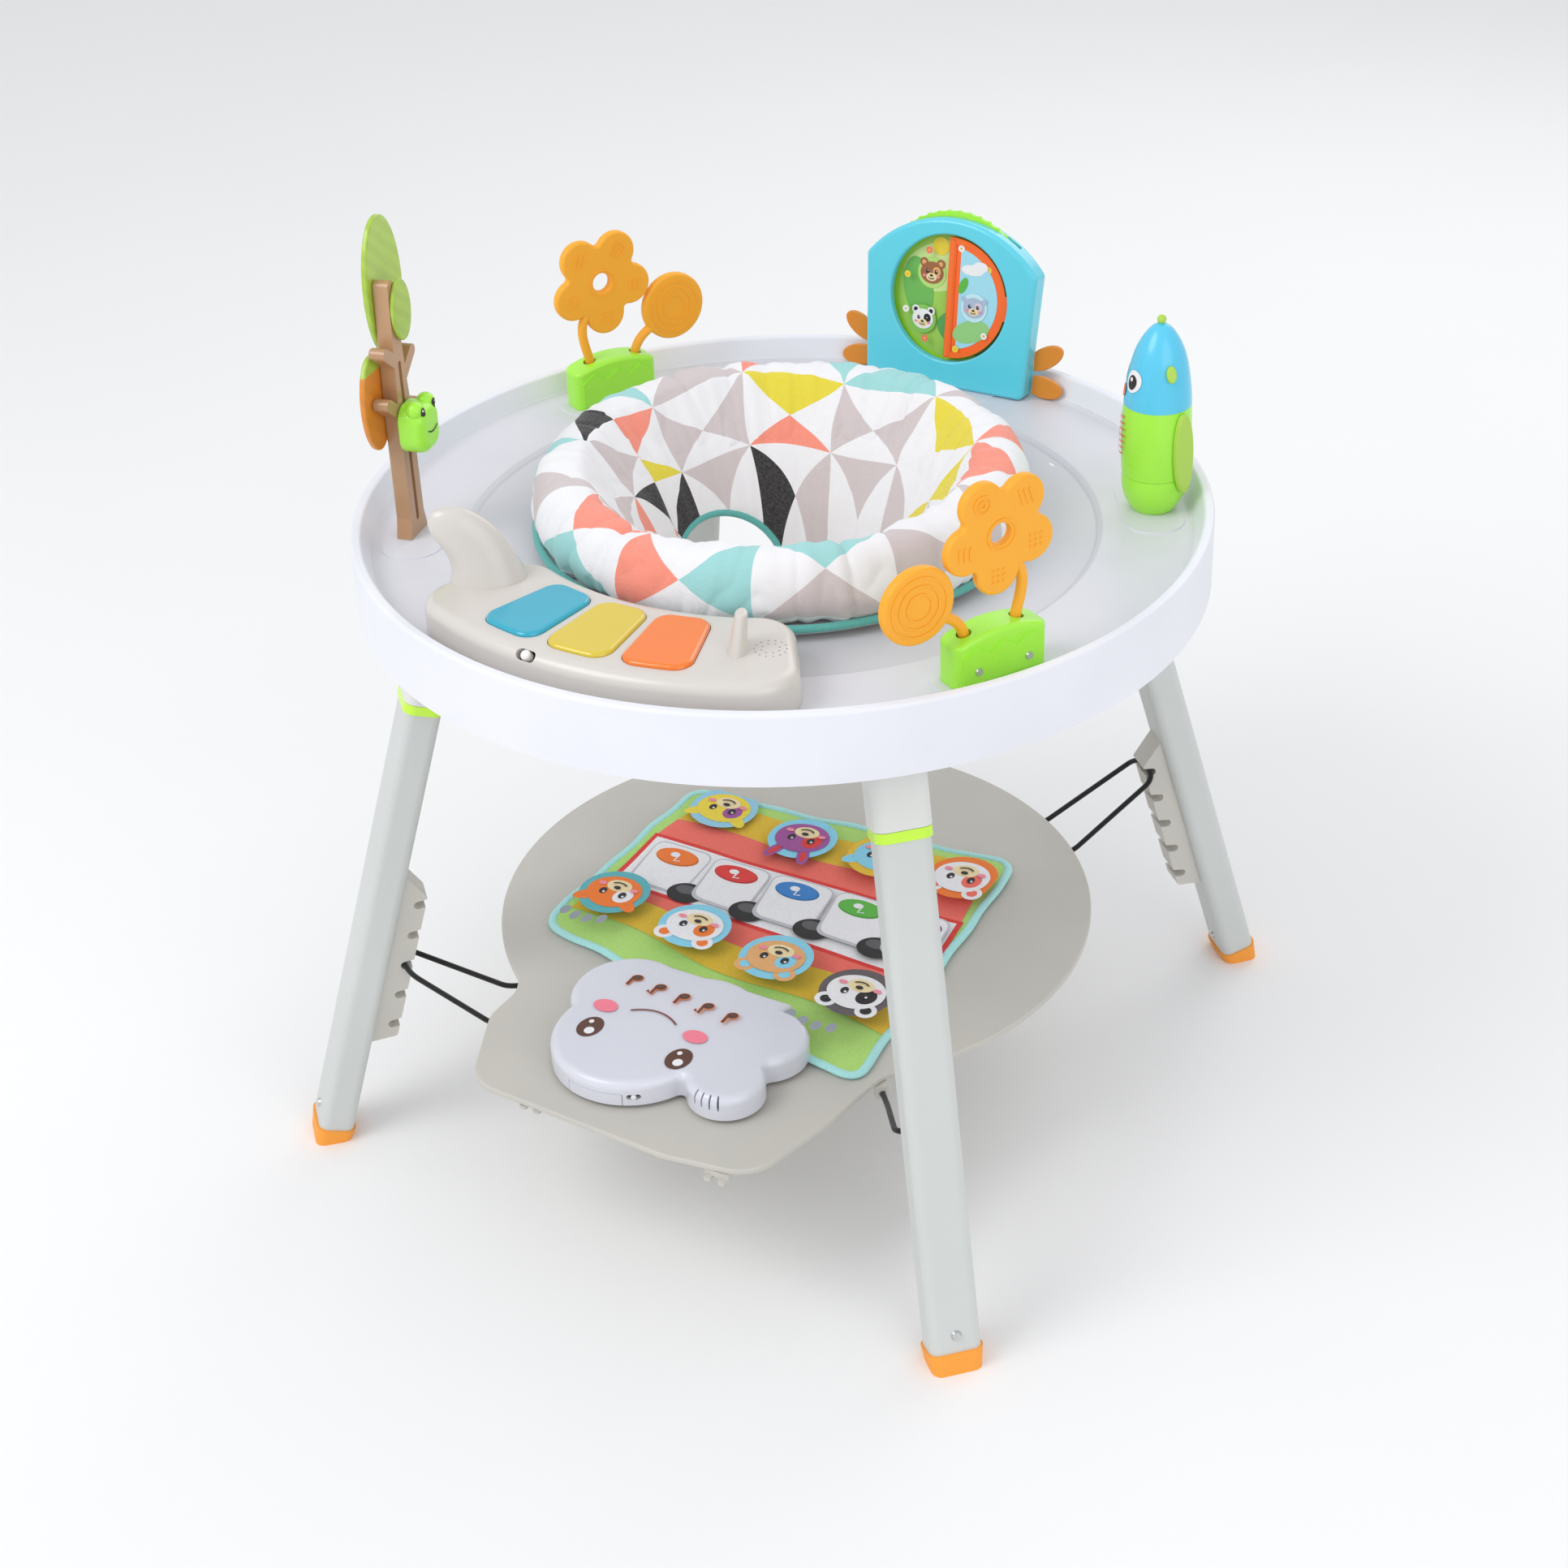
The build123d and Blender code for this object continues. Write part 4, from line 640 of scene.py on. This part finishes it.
def resample(outline, spacing):
    """The outline with points about this far apart."""
    dense = []
    count = len(outline)
    for index in range(count):
        start, end = outline[index], outline[(index + 1) % count]
        pieces = max(1, round((end - start).length / spacing))
        dense += [start.lerp(end, step / pieces) for step in range(pieces)]
    return dense


def mat_ripple(x, y, edge):
    """Height of the mat's top over the board: gentle waves that are stronger near its edge."""
    wave = noise.noise(Vector((x * 16, y * 16, 1.0))) + 0.5 * math.sin(38 * x + 10 * y)
    return max(0.0, 0.0011 + 0.0014 * wave) * (0.5 + edge)


mat_outline = resample(rounded(MAT_CORNERS, MAT_ROUND), OUTLINE_STEP)
mat_outline = [p * (1 + 0.006 * math.sin(index * 0.42)) for index, p in enumerate(mat_outline)]
mat_centre = Vector((sum(p.x for p in mat_outline), sum(p.y for p in mat_outline))) / len(mat_outline)
RINGS = 44
vertices = [Vector((*mat_centre, mat_top + mat_ripple(*mat_centre, 0.0)))]
for ring in range(1, RINGS + 1):
    share = ring / RINGS
    for point in mat_outline:
        spot = mat_centre.lerp(point, share)
        vertices.append(Vector((*spot, mat_top + mat_ripple(*spot, share ** 3))))
count = len(mat_outline)
faces = [(0, 1 + step, 1 + (step + 1) % count) for step in range(count)]
faces += grid(RINGS, count, first=1, flip=True)
lime_cloth = cloth("mat_lime", (0.45, 0.74, 0.18), depth=0.3).material
mat = mesh_object("play_mat_cloth", vertices, faces, [lime_cloth])
mat_edge = [vertices[1 + (RINGS - 1) * count + step] for step in range(count)]
mat_tree = BVHTree.FromPolygons([tuple(v) for v in vertices], faces)
thick = mat.modifiers.new("padding", "SOLIDIFY")
thick.thickness = MAT_THICKNESS
thick.offset = -1.0
modified(mat)
aqua_cloth = cloth("mat_binding_cloth", (0.42, 0.80, 0.78), depth=0.3).material
vertices, faces = tube([p - Vector((0, 0, 0.0008)) for p in mat_edge], MAT_PIPING, closed=True, squeeze=0.62)
mat_binding = mesh_object("play_mat_binding", vertices, faces, [aqua_cloth])
for piece in (mat, mat_binding):
    attach(piece, "footboard")
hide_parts("play_mat")


# ---- printed shapes
inks = {True: {}, False: {}}
LAYER_LIFT = 0.00012


def pigment(color, fabric):
    """The ink of this colour on cloth or on plastic, made once."""
    store = inks[fabric]
    if color not in store:
        if fabric:
            made = cloth(f"cloth_ink_{len(store)}", color, depth=0.25)
        else:
            made = plastic(f"gloss_ink_{len(store)}", color, 0.4, texture=0.05)
        store[color] = made.material
    return store[color]


class Decal:
    """Flat printed shapes laid on a surface: each point is dropped on to it and lifted a hair."""

    DROP = 0.05

    def __init__(self, tree, origin, right, up, fabric=False, flip=1.0, lift=0.00025):
        self.fabric, self.flip = fabric, flip
        self.tree, self.origin, self.right, self.up = tree, Vector(origin), Vector(right), Vector(up)
        self.normal = self.right.cross(self.up).normalized()
        self.lift = lift
        self.layer = 0
        self.vertices, self.faces, self.slots, self.materials = [], [], [], []

    def drop(self, x, y):
        start = self.origin + self.right * x + self.up * y + self.normal * self.DROP
        hit, normal = self.tree.ray_cast(start, -self.normal)[:2]
        if hit is None:
            hit, normal = self.tree.find_nearest(start - self.normal * self.DROP)[:2]
        if normal.dot(self.normal) < 0:
            normal = -normal
        return hit + normal * (self.lift + self.layer * LAYER_LIFT)

    def add(self, rings, color, closed):
        material = pigment(color, self.fabric)
        if material not in self.materials:
            self.materials.append(material)
        slot_number = self.materials.index(material)
        first = len(self.vertices)
        width = len(rings[0])
        for ring in rings:
            self.vertices += [self.drop(x, y) for x, y in ring]
        faces = grid(len(rings), width, first, wrap_columns=closed, flip=True)
        self.faces += faces
        self.slots += [slot_number] * len(faces)
        self.layer += 1

    def blob(self, outline, color, spacing=0.004):
        """A filled shape, seen from its middle."""
        middle = Vector((sum(p[0] for p in outline), sum(p[1] for p in outline))) / len(outline)
        reach = max((Vector(p) - middle).length for p in outline)
        rows = max(2, math.ceil(reach / spacing))
        rings = [[tuple(middle.lerp(Vector(p), 0.02 + 0.98 * row / rows)) for p in outline]
                 for row in range(rows + 1)]
        self.add(rings, color, closed=True)
        hub = len(self.vertices)
        first = hub - len(outline) * (rows + 1)
        self.vertices.append(self.drop(*middle))
        for step in range(len(outline)):
            self.faces.append((hub, first + step, first + (step + 1) % len(outline)))
            self.slots.append(self.slots[-1])

    def oval(self, x, y, half_x, half_y, color, turn=0.0, points=40):
        c, s = math.cos(turn), math.sin(turn)
        outline = []
        for angle in turns(points):
            a, b = half_x * math.cos(angle), half_y * math.sin(angle)
            outline.append((x + a * c - b * s, y + a * s + b * c))
        self.blob(outline, color)

    def stroke(self, points, width, color):
        """A line of even width through the points."""
        left, right = [], []
        for index, point in enumerate(points):
            after = points[min(index + 1, len(points) - 1)]
            before = points[max(index - 1, 0)]
            along = Vector((after[0] - before[0], after[1] - before[1])).normalized()
            side = Vector((-along.y, along.x)) * width / 2
            left.append((point[0] + side.x, point[1] + side.y))
            right.append((point[0] - side.x, point[1] - side.y))
        self.add([left, right], color, closed=False)

    def patch(self, corners, color, columns=24, rows=8, bow=0.0):
        """A four-cornered area: far left, far right, near right, near left; bow waves its long edges."""
        far_left, far_right, near_right, near_left = [Vector(p) for p in corners]
        rings = []
        for row in range(rows + 1):
            line = []
            for step in range(columns + 1):
                t = step / columns
                point = far_left.lerp(far_right, t).lerp(near_left.lerp(near_right, t), row / rows)
                point.y += bow * math.sin(t * math.pi * 3)
                line.append(tuple(point))
            rings.append(line)
        self.add(rings, color, closed=False)

    def finish(self, name, body):
        piece = mesh_object(name, self.vertices, self.faces, self.materials)
        for face, slot_number in zip(piece.data.polygons, self.slots):
            face.material_index = slot_number
        attach(piece, body)


INK_WHITE, INK_BLACK = (0.86, 0.86, 0.88), (0.015, 0.013, 0.014)
RED, CORAL, OCHRE, YELLOW = (0.75, 0.035, 0.03), (0.90, 0.16, 0.12), (0.80, 0.52, 0.03), (0.86, 0.68, 0.05)
GREEN, BLUE, ORANGE, PURPLE = (0.10, 0.48, 0.05), (0.03, 0.22, 0.60), (0.90, 0.20, 0.02), (0.35, 0.08, 0.32)
PINK, GREY, SKY, TAN = (0.92, 0.28, 0.36), (0.30, 0.34, 0.38), (0.25, 0.66, 0.85), (0.80, 0.42, 0.16)
BROWN, CREAM = (0.11, 0.045, 0.03), (0.90, 0.74, 0.42)
# places across a smile or stripe, from end to end
SPAN = (-1, -0.5, 0, 0.5, 1)


def animal(decal, x, y, size, coat, patch, halo, ears):
    """A plain round animal face of no particular character: ears, head, eye patches, eyes, nose and mouth."""
    flip = decal.flip

    def put(dx, dy, half_x, half_y, color, turn=0.0, points=32):
        decal.oval(x + dx * size, y + flip * dy * size, half_x * size, half_y * size, color, turn * flip, points)

    put(0, 0, 1.22, 1.22, halo)
    for side in (-1, 1):
        if ears == "round":
            put(0.72 * side, 0.74, 0.36, 0.36, coat)
            put(0.72 * side, 0.74, 0.19, 0.19, patch)
        elif ears == "long":
            put(0.55 * side, 0.98, 0.22, 0.52, coat, -0.35 * side)
            put(0.55 * side, 0.98, 0.10, 0.34, patch, -0.35 * side)
        else:
            put(0.80 * side, 0.50, 0.46, 0.24, coat, 0.7 * side)
    put(0, 0, 0.98, 0.86, coat, points=44)
    put(0.42, 0.12, 0.33, 0.38, patch, 0.3)
    put(0, -0.34, 0.46, 0.32, CREAM if coat != CREAM else INK_WHITE)
    for side in (-1, 1):
        put(0.38 * side, 0.10, 0.13, 0.17, INK_BLACK, points=20)
        put(0.38 * side + 0.05, 0.16, 0.045, 0.05, INK_WHITE, points=12)
        put(0.62 * side, -0.26, 0.15, 0.10, PINK, points=16)
    put(0, -0.20, 0.13, 0.09, INK_BLACK, points=16)
    smile = [(x + size * 0.26 * t, y + flip * size * (-0.48 + 0.10 * t * t)) for t in SPAN]
    decal.stroke(smile, 0.06 * size, INK_BLACK)


mat_print = Decal(mat_tree, (0, 0, mat_top), (1, 0, 0), (0, 1, 0), fabric=True, flip=-1.0, lift=0.0003)
# bands of colour and the frame of the keys: corners, ink and how much the long edges wave
BANDS = (
    (((-0.166, 0.098), (0.152, 0.120), (0.160, 0.062), (-0.172, 0.058)), OCHRE, 0.006),
    (((-0.172, 0.062), (0.160, 0.066), (0.166, 0.026), (-0.176, 0.026)), CORAL, 0.004),
    (((-0.176, -0.052), (0.176, -0.070), (0.177, -0.112), (-0.181, -0.082)), CORAL, 0.004),
    (((-0.181, -0.080), (0.177, -0.110), (0.179, -0.160), (-0.184, -0.118)), OCHRE, 0.006),
    (((-0.178, 0.029), (0.168, 0.029), (0.178, -0.078), (-0.178, -0.062)), RED, 0.0),
    (((-0.173, 0.024), (0.163, 0.024), (0.172, -0.073), (-0.172, -0.057)), INK_WHITE, 0.0),
)
for corners, color, bow in BANDS:
    mat_print.patch(corners, color, bow=bow)
# the keys' edges along the far and the near side
KEY_FAR = (-0.170, -0.101, -0.034, 0.037, 0.106, 0.163)
KEY_NEAR = (-0.168, -0.094, -0.024, 0.047, 0.116, 0.171)
OVAL_INKS = (ORANGE, RED, BLUE, GREEN, PURPLE)
for number in range(5):
    middle_far = (KEY_FAR[number] + KEY_FAR[number + 1]) / 2
    middle_near = (KEY_NEAR[number] + KEY_NEAR[number + 1]) / 2
    half = (KEY_FAR[number + 1] - KEY_FAR[number]) / 2
    # a grey key with a smaller white one on it: insets, near and far edges, corner radius and ink
    for near_inset, far_inset, near_y, far_y, radius, color in (
            (0.002, 0.002, -0.054, 0.021, 0.014, (0.55, 0.55, 0.60)),
            (0.005, 0.003, -0.050, 0.019, 0.013, INK_WHITE)):
        key = rounded([(middle_near - half + near_inset, near_y),
                       (middle_near + half - near_inset, near_y - 0.002),
                       (middle_far + half - far_inset, far_y),
                       (middle_far - half + far_inset, far_y)], radius)
        mat_print.blob([tuple(p) for p in key], color)
    mat_print.oval(middle_far, 0.001, 0.0235, 0.0135, shade(OVAL_INKS[number], 0.7))
    mat_print.oval(middle_far - 0.001, 0.002, 0.0225, 0.0125, OVAL_INKS[number])
    # a plain dot and stem stand where a note's name would be
    mat_print.oval(middle_far - 0.004, 0.004, 0.0052, 0.0040, INK_WHITE, points=20)
    mat_print.stroke([(middle_far, 0.004), (middle_far, -0.006), (middle_far + 0.006, -0.004)], 0.0016,
                     INK_WHITE)
    if number < 4:
        edge = KEY_NEAR[number + 1]
        mat_print.oval(edge - 0.002, -0.049, 0.0190, 0.0165, INK_BLACK)
        mat_print.oval(edge - 0.004, -0.044, 0.0110, 0.0070, (0.10, 0.10, 0.11))
ANIMALS = (
    (-0.136, 0.094, YELLOW, PURPLE, (0.30, 0.62, 0.80), "side"), (-0.036, 0.080, PURPLE, RED, SKY, "long"),
    (0.052, 0.084, SKY, CORAL, OCHRE, "side"), (0.140, 0.084, INK_WHITE, CORAL, ORANGE, "round"),
    (-0.150, -0.092, ORANGE, INK_WHITE, (0.10, 0.45, 0.50), "side"),
    (-0.050, -0.107, INK_WHITE, ORANGE, SKY, "round"),
    (0.046, -0.119, TAN, SKY, SKY, "round"),
    (0.139, -0.135, INK_WHITE, INK_BLACK, (0.12, 0.10, 0.11), "round"),
)
ANIMAL_SIZE = 0.0290
for x, y, *colors_and_ears in ANIMALS:
    animal(mat_print, x, y, ANIMAL_SIZE, *colors_and_ears)
TOES = ((-0.021, -0.014), (-0.007, -0.018), (0.007, -0.018), (0.021, -0.014))
for paw_x, paw_y in ((-0.150, -0.132), (0.124, -0.182)):
    for toe_x, toe_y in TOES:
        mat_print.oval(paw_x + toe_x, paw_y + toe_y, 0.0050, 0.0075, GREY, points=20)
mat_print.finish("play_mat_print", "footboard")


def surface(*nodes):
    """Search tree of the CAD nodes' outside, for laying prints on them."""
    vertices, faces = [], []
    for name in nodes:
        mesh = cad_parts[name].data
        first = len(vertices)
        vertices += [tuple(v.co) for v in mesh.vertices]
        faces += [tuple(index + first for index in face.vertices) for face in mesh.polygons]
    return BVHTree.FromPolygons(vertices, faces)


# cloud: sleepy face and a row of notes
cloud_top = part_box("cloud_cover")[1].z
cloud_face = Decal(surface("cloud_cover"), (0, 0, cloud_top), (1, 0, 0), (0, 1, 0))
for eye_x, eye_y in ((-0.046, -0.294), (0.049, -0.298)):
    cloud_face.oval(eye_x, eye_y, 0.0115, 0.0150, BROWN)
    cloud_face.oval(eye_x + 0.002, eye_y - 0.005, 0.0046, 0.0050, INK_WHITE, points=24)
    cloud_face.oval(eye_x - 0.003, eye_y + 0.007, 0.0024, 0.0026, INK_WHITE, points=16)
for cheek_x, cheek_y in ((-0.050, -0.262), (0.046, -0.265)):
    cloud_face.oval(cheek_x, cheek_y, 0.0120, 0.0088, (0.90, 0.22, 0.30))
smile = [(-0.002 + 0.024 * t, -0.258 + 0.009 * (1 - t * t)) for t in [step / 8 - 1 for step in range(17)]]
cloud_face.stroke(smile, 0.0020, (0.20, 0.06, 0.05))
for number in range(5):
    note_x, note_y = -0.046 + 0.027 * number, -0.214 - 0.003 * number
    for width, color in ((0.0038, ORANGE), (0.0024, BROWN)):
        cloud_face.oval(note_x, note_y, 0.0040 + width / 2, 0.0029 + width / 2, color, 0.4, 20)
        stem = [(note_x - 0.0036, note_y), (note_x - 0.0036, note_y - 0.013)]
        if number % 2:
            stem.append((note_x - 0.0085, note_y - 0.0095))
        cloud_face.stroke(stem, width, color)
cloud_face.finish("cloud_face", "footboard")

# picture box: a meadow on the wheel, a sky on the page
wheel_low, wheel_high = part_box("picture_wheel")
wheel_middle = (wheel_low + wheel_high) / 2
BOX_LEAN = math.radians(8.0)
box_right = Vector((1, 0, 0))
box_up = Vector((0, math.sin(BOX_LEAN), math.cos(BOX_LEAN)))
PAGE_REACH, PAGE_HINGE = 0.0500, 0.0065
meadow = Decal(surface("picture_wheel"), wheel_middle, box_right, box_up)
meadow.oval(0, 0, 0.0610, 0.0610, (0.36, 0.66, 0.10), points=72)
meadow.oval(-0.012, 0.028, 0.044, 0.024, (0.62, 0.82, 0.30), 0.3)
meadow.oval(0.020, -0.034, 0.036, 0.020, (0.10, 0.42, 0.10), -0.2)
meadow.oval(-0.038, 0.004, 0.016, 0.030, (0.16, 0.50, 0.10), 0.2)
meadow.oval(-0.016, 0.047, 0.0090, 0.0090, YELLOW)
animal(meadow, -0.024, 0.020, 0.0125, (0.36, 0.13, 0.05), TAN, (0.50, 0.76, 0.20), "round")
animal(meadow, -0.030, -0.026, 0.0115, INK_WHITE, INK_BLACK, (0.24, 0.58, 0.10), "round")
animal(meadow, 0.028, 0.018, 0.0125, YELLOW, ORANGE, (0.50, 0.76, 0.20), "long")
for step in range(9):
    angle = 0.7 * step
    spot_x, spot_y = 0.050 * math.cos(angle), 0.050 * math.sin(angle)
    meadow.oval(spot_x, spot_y, 0.0034, 0.0034, (CORAL, YELLOW, INK_WHITE)[step % 3], points=16)
    meadow.oval(spot_x, spot_y, 0.0013, 0.0013, OCHRE, points=12)
meadow.finish("picture_wheel_print", "picture_wheel")


def half_disc(reach, hollow, points=36):
    """Outline of the page: half a disc whose straight side stands off the hinge."""
    arc = [(reach * math.cos(a), reach * math.sin(a))
           for a in [math.pi * (step / points - 0.5) for step in range(points + 1)]]
    return [(max(x, hollow), y) for x, y in arc if abs(y) < reach * 0.985]


page_tree = surface("flip_page")
sky = Decal(page_tree, wheel_middle, box_right, box_up)
sky.blob(half_disc(PAGE_REACH, PAGE_HINGE), (0.36, 0.72, 0.86))
sky.oval(0.024, -0.030, 0.020, 0.011, (0.30, 0.62, 0.22), 0.35)
sky.oval(0.022, 0.030, 0.0120, 0.0052, INK_WHITE)
sky.oval(0.030, 0.034, 0.0080, 0.0052, INK_WHITE)
sky.oval(0.013, 0.014, 0.0040, 0.0085, GREEN, -0.4)
animal(sky, 0.026, -0.006, 0.0115, (0.42, 0.50, 0.66), (0.72, 0.62, 0.72), (0.55, 0.82, 0.90), "side")
sky.finish("flip_page_print", "flip_page")
back_of_page = Decal(page_tree, wheel_middle, -box_right, box_up)
flipped = [(-x, y) for x, y in half_disc(PAGE_REACH, PAGE_HINGE)]
back_of_page.blob(flipped, (0.86, 0.74, 0.40))
animal(back_of_page, -0.026, 0.0, 0.0130, TAN, CREAM, (0.60, 0.80, 0.30), "round")
back_of_page.finish("flip_page_back_print", "flip_page")

# bird: eyes, beak and chest stripes towards the seat
bird_low, bird_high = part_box("bird_body")
bird_axis = (bird_low + bird_high) / 2
inwards = Vector((-bird_axis.x, -bird_axis.y, 0)).normalized()
bird_right = UP.cross(inwards).normalized()
head_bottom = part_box("bird_head")[0].z
bird_face = Decal(surface("bird_head", "bird_body"), (bird_axis.x, bird_axis.y, head_bottom),
                  bird_right, (0, 0, 1))
for side in (-1, 1):
    bird_face.oval(0.0125 * side, 0.0250, 0.0078, 0.0100, INK_WHITE, points=32)
    bird_face.oval(0.0120 * side, 0.0240, 0.0048, 0.0066, INK_BLACK, points=24)
    bird_face.oval(0.0110 * side, 0.0265, 0.0016, 0.0018, INK_WHITE, points=12)
bird_face.oval(0, 0.0130, 0.0042, 0.0062, ORANGE, points=24)
for row in range(7):
    half = 0.0120 - 0.0011 * abs(row - 3)
    stripe = [(half * t, -0.010 - 0.0056 * row - 0.0012 * (1 - t * t)) for t in SPAN]
    bird_face.stroke(stripe, 0.0015, (0.85, 0.10, 0.02))
bird_face.finish("bird_face", "bird")

# frog: pupils with white dots and a smile
frog_low, frog_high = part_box("frog_slider")
frog_middle = (frog_low + frog_high) / 2
TREE_AZIMUTH, TREE_TURN = -150.0, -18.0
frog_way = math.radians(TREE_AZIMUTH + TREE_TURN)
frog_out = Vector((-math.cos(frog_way), -math.sin(frog_way), 0))
frog_right = UP.cross(frog_out)
FACE_UNDER_TOP = 0.011
frog_face = Decal(surface("frog_slider"), (frog_middle.x, frog_middle.y, frog_high.z - FACE_UNDER_TOP),
                  frog_right, UP)
for side in (-1, 1):
    frog_face.oval(0.0110 * side, 0.0025, 0.0034, 0.0040, INK_BLACK, points=20)
    frog_face.oval(0.0120 * side, 0.0040, 0.0010, 0.0011, INK_WHITE, points=10)
grin = [(0.0090 * t, -0.016 - 0.003 * (1 - t * t)) for t in SPAN]
frog_face.stroke(grin, 0.0013, INK_BLACK)
frog_face.finish("frog_face", "frog")

# ---- elastic cords
CORNERS = ("front_left", "front_right", "back_right", "back_left")
LEG_AZIMUTH = {"front_left": -135.0, "front_right": -45.0, "back_right": 45.0, "back_left": 135.0}
# azimuth and radius of each cord's two lugs under the board
ANCHORS = {
    "front_left": ((-127.0, 0.2760), (-118.5, 0.3120)), "front_right": ((-46.0, 0.2920), (-39.0, 0.2920)),
    "back_right": ((46.5, 0.2730), (58.5, 0.2730)), "back_left": ((126.5, 0.2730), (138.5, 0.2730)),
}
HOOK_USED = {"front_left": 2, "front_right": 2, "back_right": 4, "back_left": 4}
FOOT_RADIUS, LEG_SPLAY = 0.475, 0.30
ANCHOR_Z, CORD_RADIUS = 0.156, 0.0026
LUG_MOUTH, LUG_BACK = 0.016, 0.009
NOTCH_FIRST, NOTCH_PITCH = 0.140, 0.0335
RAIL_REACH, CORD_REACH, HOOK_RAKE = 0.041, 0.0337, math.radians(24.0)
CORD_UNDER_HOOK = 0.0011
SWING = 0.021
KNOT_RADIUS, KNOT_TWIST, KNOT_THICK = 0.0030, 0.0016, 0.0022


def polar(radius, azimuth, height=0.0):
    return around_axis(radius, math.radians(azimuth), height)


def cord_route(corner):
    """The cord's route as in the CAD: near knot, lug, round the leg's hook, lug and far knot."""
    azimuth = LEG_AZIMUTH[corner]
    leg = (polar(-LEG_SPLAY, azimuth) + UP).normalized()
    around = polar(1, azimuth + 90)
    inward = leg.cross(around).normalized()
    along = (NOTCH_FIRST + NOTCH_PITCH * HOOK_USED[corner]
             - (RAIL_REACH - CORD_REACH) * math.tan(HOOK_RAKE) - CORD_UNDER_HOOK)
    hook = polar(FOOT_RADIUS, azimuth) + inward * CORD_REACH + leg * along
    near, far = ANCHORS[corner]
    hook_near, hook_far = hook - around * SWING, hook + around * SWING
    near_lug = polar(near[1] + LUG_MOUTH, near[0], ANCHOR_Z)
    far_lug = polar(far[1] + LUG_MOUTH, far[0], ANCHOR_Z)
    return [
        polar(near[1] - LUG_BACK, near[0], ANCHOR_Z), near_lug,
        near_lug + (hook_near - near_lug).normalized() * 0.025,
        hook_near + (near_lug - hook_near).normalized() * 0.031,
        hook_near, hook_far,
        hook_far + (far_lug - hook_far).normalized() * 0.031,
        far_lug + (hook_far - far_lug).normalized() * 0.025,
        far_lug, polar(far[1] - LUG_BACK, far[0], ANCHOR_Z),
    ]


def spline_points(route):
    """Points read from a NURBS curve whose control points are the route."""
    curve = bpy.data.curves.new("cord_line", "CURVE")
    curve.dimensions = "3D"
    curve.resolution_u = 12
    line = curve.splines.new("NURBS")
    line.points.add(len(route) - 1)
    for control, spot in zip(line.points, route):
        control.co = (*spot, 1)
    line.order_u = 3
    line.use_endpoint_u = True
    holder = bpy.data.objects.new("cord_line", curve)
    mesh = bpy.data.meshes.new_from_object(holder)
    points = [v.co.copy() for v in mesh.vertices]
    bpy.data.objects.remove(holder)
    bpy.data.curves.remove(curve)
    return points


braid = cloth("cord_braid", BLACK, weave=520.0, rough=0.7, depth=0.6).material
for corner in CORNERS:
    route = cord_route(corner)
    points = spline_points(route)
    vertices, faces = tube(points, CORD_RADIUS, sides=16)
    cord = mesh_object("elastic_cord_" + corner + "_braid", vertices, faces, [braid])
    for end, spot in (("near", points[0]), ("far", points[-1])):
        inside = points[1] - points[0] if end == "near" else points[-2] - points[-1]
        side = inside.normalized().cross(UP)
        loop = [spot + (side * math.cos(a) + UP * math.sin(a)) * KNOT_RADIUS
                + inside.normalized() * KNOT_TWIST * math.sin(2 * a) for a in turns(24)]
        vertices, faces = tube(loop, KNOT_THICK, closed=True, sides=10)
        knot = mesh_object(f"cord_knot_{corner}_{end}", vertices, faces, [braid])
        attach(knot, "footboard")
    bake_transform(cord)
    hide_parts("elastic_cord_" + corner)

# ---- floor, light and camera
floor_material = Nodes("studio_floor")
pale = floor_material.mix(floor_material.noise(3.0), (0.87, 0.87, 0.87), (0.89, 0.89, 0.89))
floor_material.set(Base_Color=pale, Roughness=0.9)
floor = mesh_object("studio_floor", [(-6, -6, 0), (6, -6, 0), (6, 6, 0), (-6, 6, 0)], [(0, 1, 2, 3)],
                    [floor_material.material])


def lamp(name, place, target, size, power):
    light = bpy.data.lights.new(name, "AREA")
    light.shape = "DISK"
    light.size = size
    light.energy = power
    holder = bpy.data.objects.new(name, light)
    holder.location = place
    holder.rotation_euler = (Vector(target) - Vector(place)).to_track_quat("-Z", "Y").to_euler()
    bpy.context.scene.collection.objects.link(holder)


lamp("key", (-1.4, -2.2, 3.0), (0, 0, 0.45), 2.2, 44)
lamp("fill", (2.6, -1.6, 1.8), (0, 0, 0.4), 2.6, 18)
lamp("back", (0.2, 2.8, 2.4), (0, 0, 0.5), 2.4, 18)
world = bpy.data.worlds.new("studio")
world.use_nodes = True
background = world.node_tree.nodes["Background"]
background.inputs["Color"].default_value = (0.93, 0.94, 0.96, 1)
background.inputs["Strength"].default_value = 0.84
bpy.context.scene.world = world

# fitted to the photograph's rim, feet and legs
CAMERA_PLACE, CAMERA_AIM = (1.0226, -1.7554, 1.5782), (-0.0062, -0.0036, 0.3018)
CAMERA_ROLL = math.radians(-2.17)
camera_data = bpy.data.cameras.new("view")
camera_data.lens = 58.0
camera_data.sensor_width = 36.0
camera = bpy.data.objects.new("view", camera_data)
camera.location = CAMERA_PLACE
aim = Vector(CAMERA_AIM) - camera.location
roll = Matrix.Rotation(CAMERA_ROLL, 3, "Z")
camera.rotation_euler = (aim.to_track_quat("-Z", "Y").to_matrix() @ roll).to_euler()
bpy.context.scene.collection.objects.link(camera)
bpy.context.scene.camera = camera
bpy.context.scene.view_settings.view_transform = "Standard"
